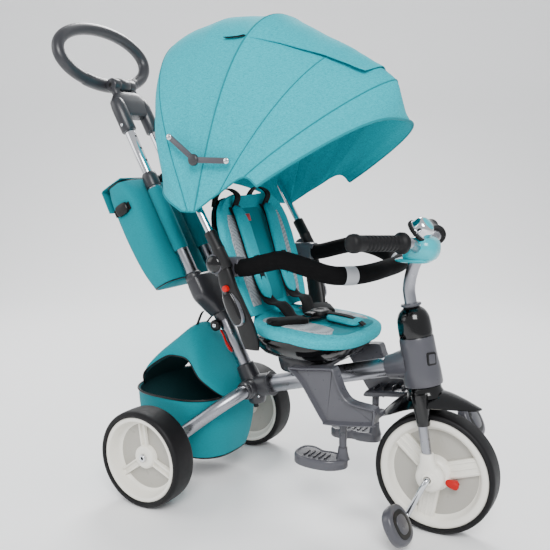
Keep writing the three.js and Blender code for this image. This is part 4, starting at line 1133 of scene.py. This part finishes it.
half = [(216, 161, 541), (240, 163, 545), (290, 170, 559), (325, 175, 566), (372, 177, 558), (417, 164, 544),
        (441, 142, 540), (459, 110, 539), (468, 60, 539), (469, 0, 539)]
right = [(x, -y, z) for x, y, z in half]
bar_path = right + half[::-1][1:]
bar = tube(bar_path, 18.3, 48, 200)
piece("armrest_bar_skin", bar, FOAM, "armrest", ["armrest_bar"], sharp=60)
dense = spline(bar_path, 200)
for name, a in (("right", 66), ("left", 124)):
    piece(f"armrest_print_{name}", tube(dense[a:a + 9], [18.2] + [18.7] * 7 + [18.2], 48), PRINT, "armrest")
print("harness, brackets and armrest done")

# %% [markdown]
# ## Canopy
# Arched bows carry the cloth. Each bow is an arch whose height, width and lean change, and the cloth is
# skinned between them with a little sag so the bows read as seams. The front part folds back over the rear
# one on the real canopy; here its cloth rides on no body and stays fixed where it is built.

# %% Canopy cloth
CANOPY_MIDDLE = vec(150, 0, 700)


def arch(x, z, half, height, lean, n, m, samples=97):
    row = []
    for c in np.linspace(0, math.pi, samples):
        y = -half * math.copysign(abs(math.cos(c)) ** (2 / n), math.cos(c))
        r = height * math.sin(c) ** (2 / m)
        row.append((x + r * math.sin(math.radians(lean)), y, z + r * math.cos(math.radians(lean))))
    row[0] = (x, -half, z)
    row[-1] = (x, half, z)
    return np.array(row)


def arch_evened(*values, samples=97):
    dense = arch(*values, samples=801)
    step = np.concatenate([[0], np.cumsum(np.linalg.norm(np.diff(dense, axis=0), axis=1))])
    want = np.linspace(0, step[-1], samples)
    return np.column_stack([np.interp(want, step, dense[:, k]) for k in range(3)])


REAR = [(98, 655, 199, 125, -62, 2.5, 2.5), (106, 655, 199, 275, -33, 2, 3),
        (114, 655, 199, 398, -20.5, 1.7, 3.5),
        (122, 655, 199, 413, -2, 2, 3.2), (130, 655, 199, 419, 14.4, 2.3, 3.5)]
FRONT = [(131.5, 655, 199.8, 420.5, 14.6, 2.3, 3.5), (194, 693, 204, 346, 33, 1.9, 2.3),
         (256, 726, 208, 296, 49.5, 1.5, 1.5),
         (287, 709, 208, 246, 58, 3.2, 1.5)]


def hood(rows, count, sag):
    """Bows joined by cloth; between bows it sinks a little and wrinkles near the corners."""
    bows = np.array([arch_evened(*r) for r in rows])
    grid = spline(bows, count)
    last = len(rows) - 1
    for i in range(count):
        between = abs(math.sin(math.pi * last * i / (count - 1)))
        for j in range(grid.shape[1]):
            k = j / (grid.shape[1] - 1)
            away = unit(grid[i, j] - CANOPY_MIDDLE)
            low = (1 - math.sin(math.pi * k)) ** 4
            corner_ripple = 0.9 * math.sin(17 * k * math.pi + i * 0.22) * low
            ripple = corner_ripple + 0.5 * math.sin(i * 0.55 + 9 * k) * between
            grid[i, j] -= away * (sag * between * math.sin(math.pi * k) ** 0.5 + ripple * 0.8)
    return grid


def cloth_hood(name, rows, count, sag, body, node, ride=True):
    grid = hood(rows, count, sag)
    return grid, piece(name, skin(grid, 2.4, CANOPY_MIDDLE), TURQUOISE, body, [node],
                       sharp=60,
                       ride=ride)


rear_grid, rear_hood = cloth_hood("canopy_rear_skin", REAR, 96, 3.5, "canopy", "canopy_rear")
front_grid, front_hood = cloth_hood("canopy_front_skin", FRONT, 84, 2.5, "canopy", "canopy_front", ride=False)


def area_of(grid):
    a = grid[1:, :-1] - grid[:-1, :-1]
    b = grid[:-1, 1:] - grid[:-1, :-1]
    return float(np.sum(np.linalg.norm(np.cross(a, b), axis=2))) / 1e6


def seam(name, line, radius, body, ride=True):
    """Piping: a thin round cord sewn along a seam, in darker turquoise that paints the shadow line there."""
    return piece(name, tube(line, radius, 12), TURQUOISE_SHADED, body, sharp=60, ride=ride)


seam("seam_back_edge", rear_grid[0], 2.0, "canopy")
seam("seam_rear", rear_grid[48], 1.3, "canopy")
seam("seam_middle", rear_grid[-1], 2.2, "canopy")
front_seams = [seam("seam_visor", front_grid[28], 1.3, "canopy", ride=False),
               seam("seam_brow", front_grid[56], 1.5, "canopy", ride=False),
               seam("seam_brim", front_grid[-1], 2.6, "canopy", ride=False)]
for k, row in enumerate((front_grid[:, 0], front_grid[:, -1])):
    front_seams.append(seam(f"seam_side_{k}", row, 1.7, "canopy", ride=False))
for k, row in enumerate((rear_grid[:, 0], rear_grid[:, -1])):
    seam(f"seam_rear_side_{k}", row, 1.7, "canopy")


for cloth_piece in (front_hood, *front_seams):
    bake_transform(cloth_piece)
print("canopy areas:", round(area_of(rear_grid), 3), round(area_of(front_grid), 3))

# %% Canopy posts, stays and ties
for name, side in SIDES:
    post_foot = POST_FOOT[side]
    piece(f"canopy_post_{name}_skin", rod(post_foot - POST * 62, post_foot + POST * 120, 8), CHROME,
          "canopy",
          [f"canopy_post_{name}"])


def link(a, b, y0, y1, width):
    """A stay: a flat bar with round ends."""
    a, b = np.asarray(a, float), np.asarray(b, float)
    d = unit(b - a)
    n = vec(-d[1], d[0])
    outline = []
    for t in np.linspace(-math.pi / 2, math.pi / 2, 20):
        outline.append(b + width / 2 * (math.cos(t) * d + math.sin(t) * n))
    for t in np.linspace(math.pi / 2, 3 * math.pi / 2, 20):
        outline.append(a + width / 2 * (math.cos(t) * d + math.sin(t) * n))
    flat = [[(p[0], y, p[1]) for p in outline] for y in (y0, y1)]
    return loft(flat)


RIVET_REAR, KNUCKLE, RIVET_FRONT = (80.7, 806), (143, 760), (223, 758)
for name, side in SIDES:
    piece(f"stay_rear_{name}_skin", link(RIVET_REAR, KNUCKLE, side * 210.3, side * 213.2, 12), GREY,
          "stay_rear",
          [f"stay_rear_{name}"], bevel=0.7)
    piece(f"stay_front_{name}_skin", link(KNUCKLE, RIVET_FRONT, side * 213.5, side * 216.4, 12), GREY,
          "stay_front",
          [f"stay_front_{name}"], bevel=0.7)
    k = vec(KNUCKLE[0], side * 213.4, KNUCKLE[1])
    piece(f"stay_knuckle_{name}", turned(k, k + Y * side, [(0, 0), (0, 12), (4, 12), (6.4, 10), (7, 7),
                                                           (7, 0)], 48),
          DARK, "stay_rear")
    for tag, (px, pz), depth, body in (("rear", RIVET_REAR, 205, "canopy"),
                                       ("front", RIVET_FRONT, 212, "stay_front")):
        p = vec(px, side * depth, pz)
        axle = turned(p, p + Y * side, [(0, 0), (0, 3.4), (8, 3.4), (8, 6.6), (9.4, 6.2), (10.6, 4.6),
                                        (11, 0)]
                      if tag == "rear" else [(0, 0), (0, 6.6), (4, 6.6), (5.6, 6.2), (6.8, 4.6), (7.2, 0)],
                      32)
        piece(f"stay_rivet_{tag}_{name}", axle, CHROME, body, sharp=60)

# A flap on the roof is sewn to the middle bow and lifts a little at its free edge.
flap_grid = []
for i in range(2, 46):
    k = (i - 2) / 43
    row = []
    for c in np.linspace(0.35 + 0.07 * k, 0.65 - 0.07 * k, 33):
        j = c * (front_grid.shape[1] - 1)
        j0 = int(j)
        p = front_grid[i, j0] * (1 - j + j0) + front_grid[i, min(j0 + 1, front_grid.shape[1] - 1)] * (j - j0)
        edge = abs(c - 0.5) / (0.15 - 0.07 * k)
        row.append(p + unit(p - CANOPY_MIDDLE) * (1.5 + 9 * k * edge**4 + 3 * k))
    flap_grid.append(row)
roof_flap = piece("roof_flap", skin(flap_grid, 1.6, CANOPY_MIDDLE), TURQUOISE, "canopy",
                  sharp=60,
                  ride=False)
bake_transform(roof_flap)

# Two short black tabs of webbing lie on the roof.
for k, (c, width) in enumerate(((0.62, 16), (0.36, 16))):
    col = int(c * (rear_grid.shape[1] - 1))
    outer = [rear_grid[i, col] + unit(rear_grid[i, col] - CANOPY_MIDDLE) * 1.6 for i in range(62, 96, 4)]
    strap(f"roof_tab_{k}", outer[-4:], (Y, Y), width, 1.4, "canopy")

# %% [markdown]
# ## Bag and basket
# Both are sewn canvas with piping, in the darker turquoise that is painted shade. Their cloth is a smooth
# loft with soft folds pushed in by a few sine waves, strongest where the cloth is gathered. The basket is a
# real open tub with an arched hood; a dark sheet just inside the tub and under the hood is painted shade.

# %% Bag
BAG = [(296, 34, 86, 84), (300, 27, 93, 92), (306, 22, 98, 97), (350, 20, 104, 102), (430, 20, 106, 104),
       (520, 22, 104, 103), (556, 30, 102, 100), (564, 38, 100, 97), (567, 46, 94, 90)]


def crumple(rings, amount, size, seed):
    """Pushes rings in and out along their own outlines with a few long waves."""
    rng = np.random.default_rng(seed)
    waves = [(rng.integers(2, 6), rng.uniform(0.5, 2.2), rng.uniform(0, 6.28),
              rng.uniform(0.4, 1)) for _ in range(7)]
    out = np.array(rings, float)
    m, n = out.shape[:2]
    for i in range(m):
        centre = out[i].mean(0)
        k = i / (m - 1)
        for j in range(n):
            a = j / n * 2 * math.pi
            push = sum(w * math.sin(f * a + g * 6.28 * k + p) for f, g, p, w in waves) * amount(k)
            out[i, j] += unit(out[i, j] - centre) * push * size
    return out


rings = spline([oval(on_push(s, 0, (a + b) / 2), Y, BACK, w, (b - a) / 2, 4, 120) for s, a, b, w in BAG], 70)
rings = crumple(rings, lambda k: 0.5 + 0.5 * math.sin(math.pi * k), 1.25, 4)
bag = piece("bag_skin", loft(rings), TURQUOISE_SHADED, "frame", ["bag"], sharp=60)
for tag, row in (("top", 60), ("bottom", 8)):
    ring = rings[row]
    out = [p + unit(p - ring.mean(0)) * 1.2 for p in ring]
    piece(f"bag_piping_{tag}", tube(out, 1.8, 10, closed=True), BLACK, "frame", sharp=60)
col = rings[:, 118]
piece("bag_side_piping", tube(col[6:62], 1.7, 10), BLACK, "frame", sharp=60)
flap_rows = []
for k in range(24):
    u = k / 23
    s = 570 - 58 * max(0.0, u - 0.45) / 0.55
    back = 40 + 68 * min(u / 0.45, 1) + 4 * max(0, u - 0.45)
    flap_rows.append([on_push(s + 1.5 * math.sin(9 * u) * u, y, back + (2.5 if u > 0.45 else 0)) for y in
                      np.linspace(-98, 98, 41)])
flap = piece("bag_flap", skin(flap_rows, 2, tuple(on_push(420, 0, 60))), TURQUOISE_SHADED, "frame",
             sharp=60)
for name, side in SIDES:
    y = side * PUSH_Y
    wrap = turned(on_push(360, y), on_push(520, y), [(0, 15.4), (0, 17), (4, 17.8), (80, 18.2), (156, 17.8),
                                                     (160, 17),
                  (160, 15.4), (0, 15.4)], 48)
    piece(f"bag_sleeve_{name}", wrap, TURQUOISE_SHADED, "frame", sharp=60)
    strap(f"bag_strap_{name}", [on_push(500, side * 104, 40), on_push(500, side * 106, 64),
                                on_push(500, side * 104, 92)],
          (UP, UP), 18, 1.6, "frame")
    clip = loft([oval(on_push(500, side * d, 64), UP, BACK, a, b, 4, 40) for d, a, b in
                 ((104, 13, 18), (106, 14, 19), (111, 13, 17), (112, 10, 14))])
    piece(f"bag_buckle_{name}", clip, BLACK, "frame", sharp=50)

# %% Basket
TUB = [(-12, 66, 98, 84), (-12, 70, 104, 91), (-12, 78, 108, 96), (-12, 140, 118, 122), (-14, 200, 123, 135),
       (-14, 222, 124, 138)]
outer = spline([oval((x, 0, z), X, Y, a, b, 3, 144) for x, z, a, b in TUB], 50)
outer = crumple(outer, lambda k: 0.3 + math.sin(math.pi * k) * 0.9, 0.8, 9)
inner = [ring + (ring.mean(0) - ring) * 0.022 + Z * (2 if i == 0 else 0) for i, ring in enumerate(outer)]
tub = loft(np.concatenate([outer, np.array(inner)[::-1]]))
tub_piece = piece("basket_skin", tub, TURQUOISE_SHADED, "frame", ["basket"], sharp=60)
rim = outer[-1]
# A dark sheet just inside the tub wall: painted shade in the basket.
shade_sheet_rings = [ring + (ring.mean(0) - ring) * 0.035 for ring in outer]
shade_sheet_piece = piece("basket_shade_sheet", skin(shade_sheet_rings, 0.8, (-14, 0, 150)), BASKET_SHADE, "frame",
                     sharp=60)
piece("basket_rim", tube(rim, 2.6, 12, closed=True), BLACK, "frame", sharp=60)
piece("basket_piping", tube(outer[14], 2.0, 12, closed=True), BLACK, "frame", sharp=60)
board = loft([oval((-12, 0, z), X, Y, a, b, 3, 96) for z, a, b in ((62, 92, 78), (64, 97, 83), (68, 98, 84),
                                                                   (70, 95, 81))])
piece("basket_board", board, DARK, "frame")

side_edge = [(104, 222), (88, 240), (62, 268), (20, 300), (-16, 305), (-50, 300), (-98, 262), (-124, 222)]
crown = [(111, 222), (100, 250), (62, 300), (26, 352), (-2, 374), (-32, 352), (-86, 300), (-139, 222)]
edge_y = [66, 84, 100, 84, 78, 84, 100, 74]
rows = spline([(a, b, c, d, w) for (a, b), (c, d), w in zip(side_edge, crown, edge_y)], 60)
hood_grid = []
for a, b, c, d, w in rows:
    line = []
    for t in np.linspace(-math.pi / 2, math.pi / 2, 49):
        k = math.cos(t) ** 0.9
        line.append((a + (c - a) * k, w * math.sin(t), b + (d - b) * k))
    hood_grid.append(line)
hood_piece = piece("basket_hood", skin(hood_grid, 1.8, (-12, 0, 200)), TURQUOISE_SHADED, "frame",
                   sharp=60)
hood_arr = np.array(hood_grid)
# A dark sheet just under the hood: painted shade.
inside_grid = hood_arr + (np.array((-12, 0, 200)) - hood_arr) * 0.035
inside = piece("basket_hood_shade_sheet", skin(inside_grid, 0.8, (-12, 0, 200)), BASKET_SHADE, "frame",
               sharp=60)
for k, j in enumerate((0, -1)):
    piece(f"basket_hood_edge_{k}", tube(hood_arr[:, j], 1.8, 10), BLACK, "frame", sharp=60)
for name, side in SIDES:
    strap(f"basket_tie_{name}", [(24, side * 30, 408), (17, side * 29, 398), (8, side * 25, 384),
                                 (-1, side * 20, 371)],
          (Y, Y), 10, 1.2, "frame")
print("canopy hardware, bag and basket done")

# %% [markdown]
# ## Floor, light and camera
# A pale floor curves up into the wall behind. One large soft light stands to the front, a weaker one fills
# the shadow side and a third one draws the edges from behind.

# %% Stage
profile = [(-4.0, 0.0), (2.2, 0.0)]
for k in range(1, 13):
    a = k / 12 * math.pi / 2
    profile.append((2.2 + 1.4 * math.sin(a), 1.4 - 1.4 * math.cos(a)))
profile.append((3.6, 5.0))
verts, faces = [], []
turn_z = math.radians(30.9)
for depth, height in profile:
    for across in (-7.0, 7.0):
        x = -math.sin(turn_z) * depth + math.cos(turn_z) * across
        y = math.cos(turn_z) * depth + math.sin(turn_z) * across
        verts.append((x, y, height))
for k in range(len(profile) - 1):
    faces.append((2 * k, 2 * k + 1, 2 * k + 3, 2 * k + 2))
mesh = bpy.data.meshes.new("floor")
mesh.from_pydata(verts, [], faces)
for polygon in mesh.polygons:
    polygon.use_smooth = True
floor = bpy.data.objects.new("floor", mesh)
bpy.context.scene.collection.objects.link(floor)
floor_material = start_material("pale studio paper", Base_Color=srgb("FAFAFA"), Roughness=0.9)[0]
mesh.materials.append(floor_material)

world = bpy.data.worlds.new("studio")
bpy.context.scene.world = world
world.use_nodes = True
world.node_tree.nodes["Background"].inputs["Color"].default_value = (0.95, 0.97, 1.0, 1)
world.node_tree.nodes["Background"].inputs["Strength"].default_value = 0.75


def area_light(name, place, aim, size, watts):
    data = bpy.data.lights.new(name, "AREA")
    data.shape = "RECTANGLE"
    data.size, data.size_y = size
    data.energy = watts
    lamp = bpy.data.objects.new(name, data)
    lamp.location = place
    lamp.rotation_euler = (Vector(aim) - Vector(place)).to_track_quat("-Z", "Y").to_euler()
    bpy.context.scene.collection.objects.link(lamp)
    return lamp


area_light("key", (1.6, -2.3, 2.6), (0, 0, 0.5), (1.5, 1.5), 125)
area_light("fill", (-2.4, -1.6, 1.6), (0, 0, 0.5), (2.0, 2.0), 26)
area_light("edge", (-1.2, 2.0, 2.6), (0, 0, 0.6), (1.6, 1.0), 110)

camera_data = bpy.data.cameras.new("camera")
camera_data.sensor_width = 36
camera_data.lens = 48.67
camera = bpy.data.objects.new("camera", camera_data)
camera.location = (0.8583, -1.4178, 0.7563)
camera.rotation_euler = (Vector((0.0098, 0, 0.5046)) - camera.location).to_track_quat("-Z", "Y").to_euler()
bpy.context.scene.collection.objects.link(camera)
bpy.context.scene.camera = camera
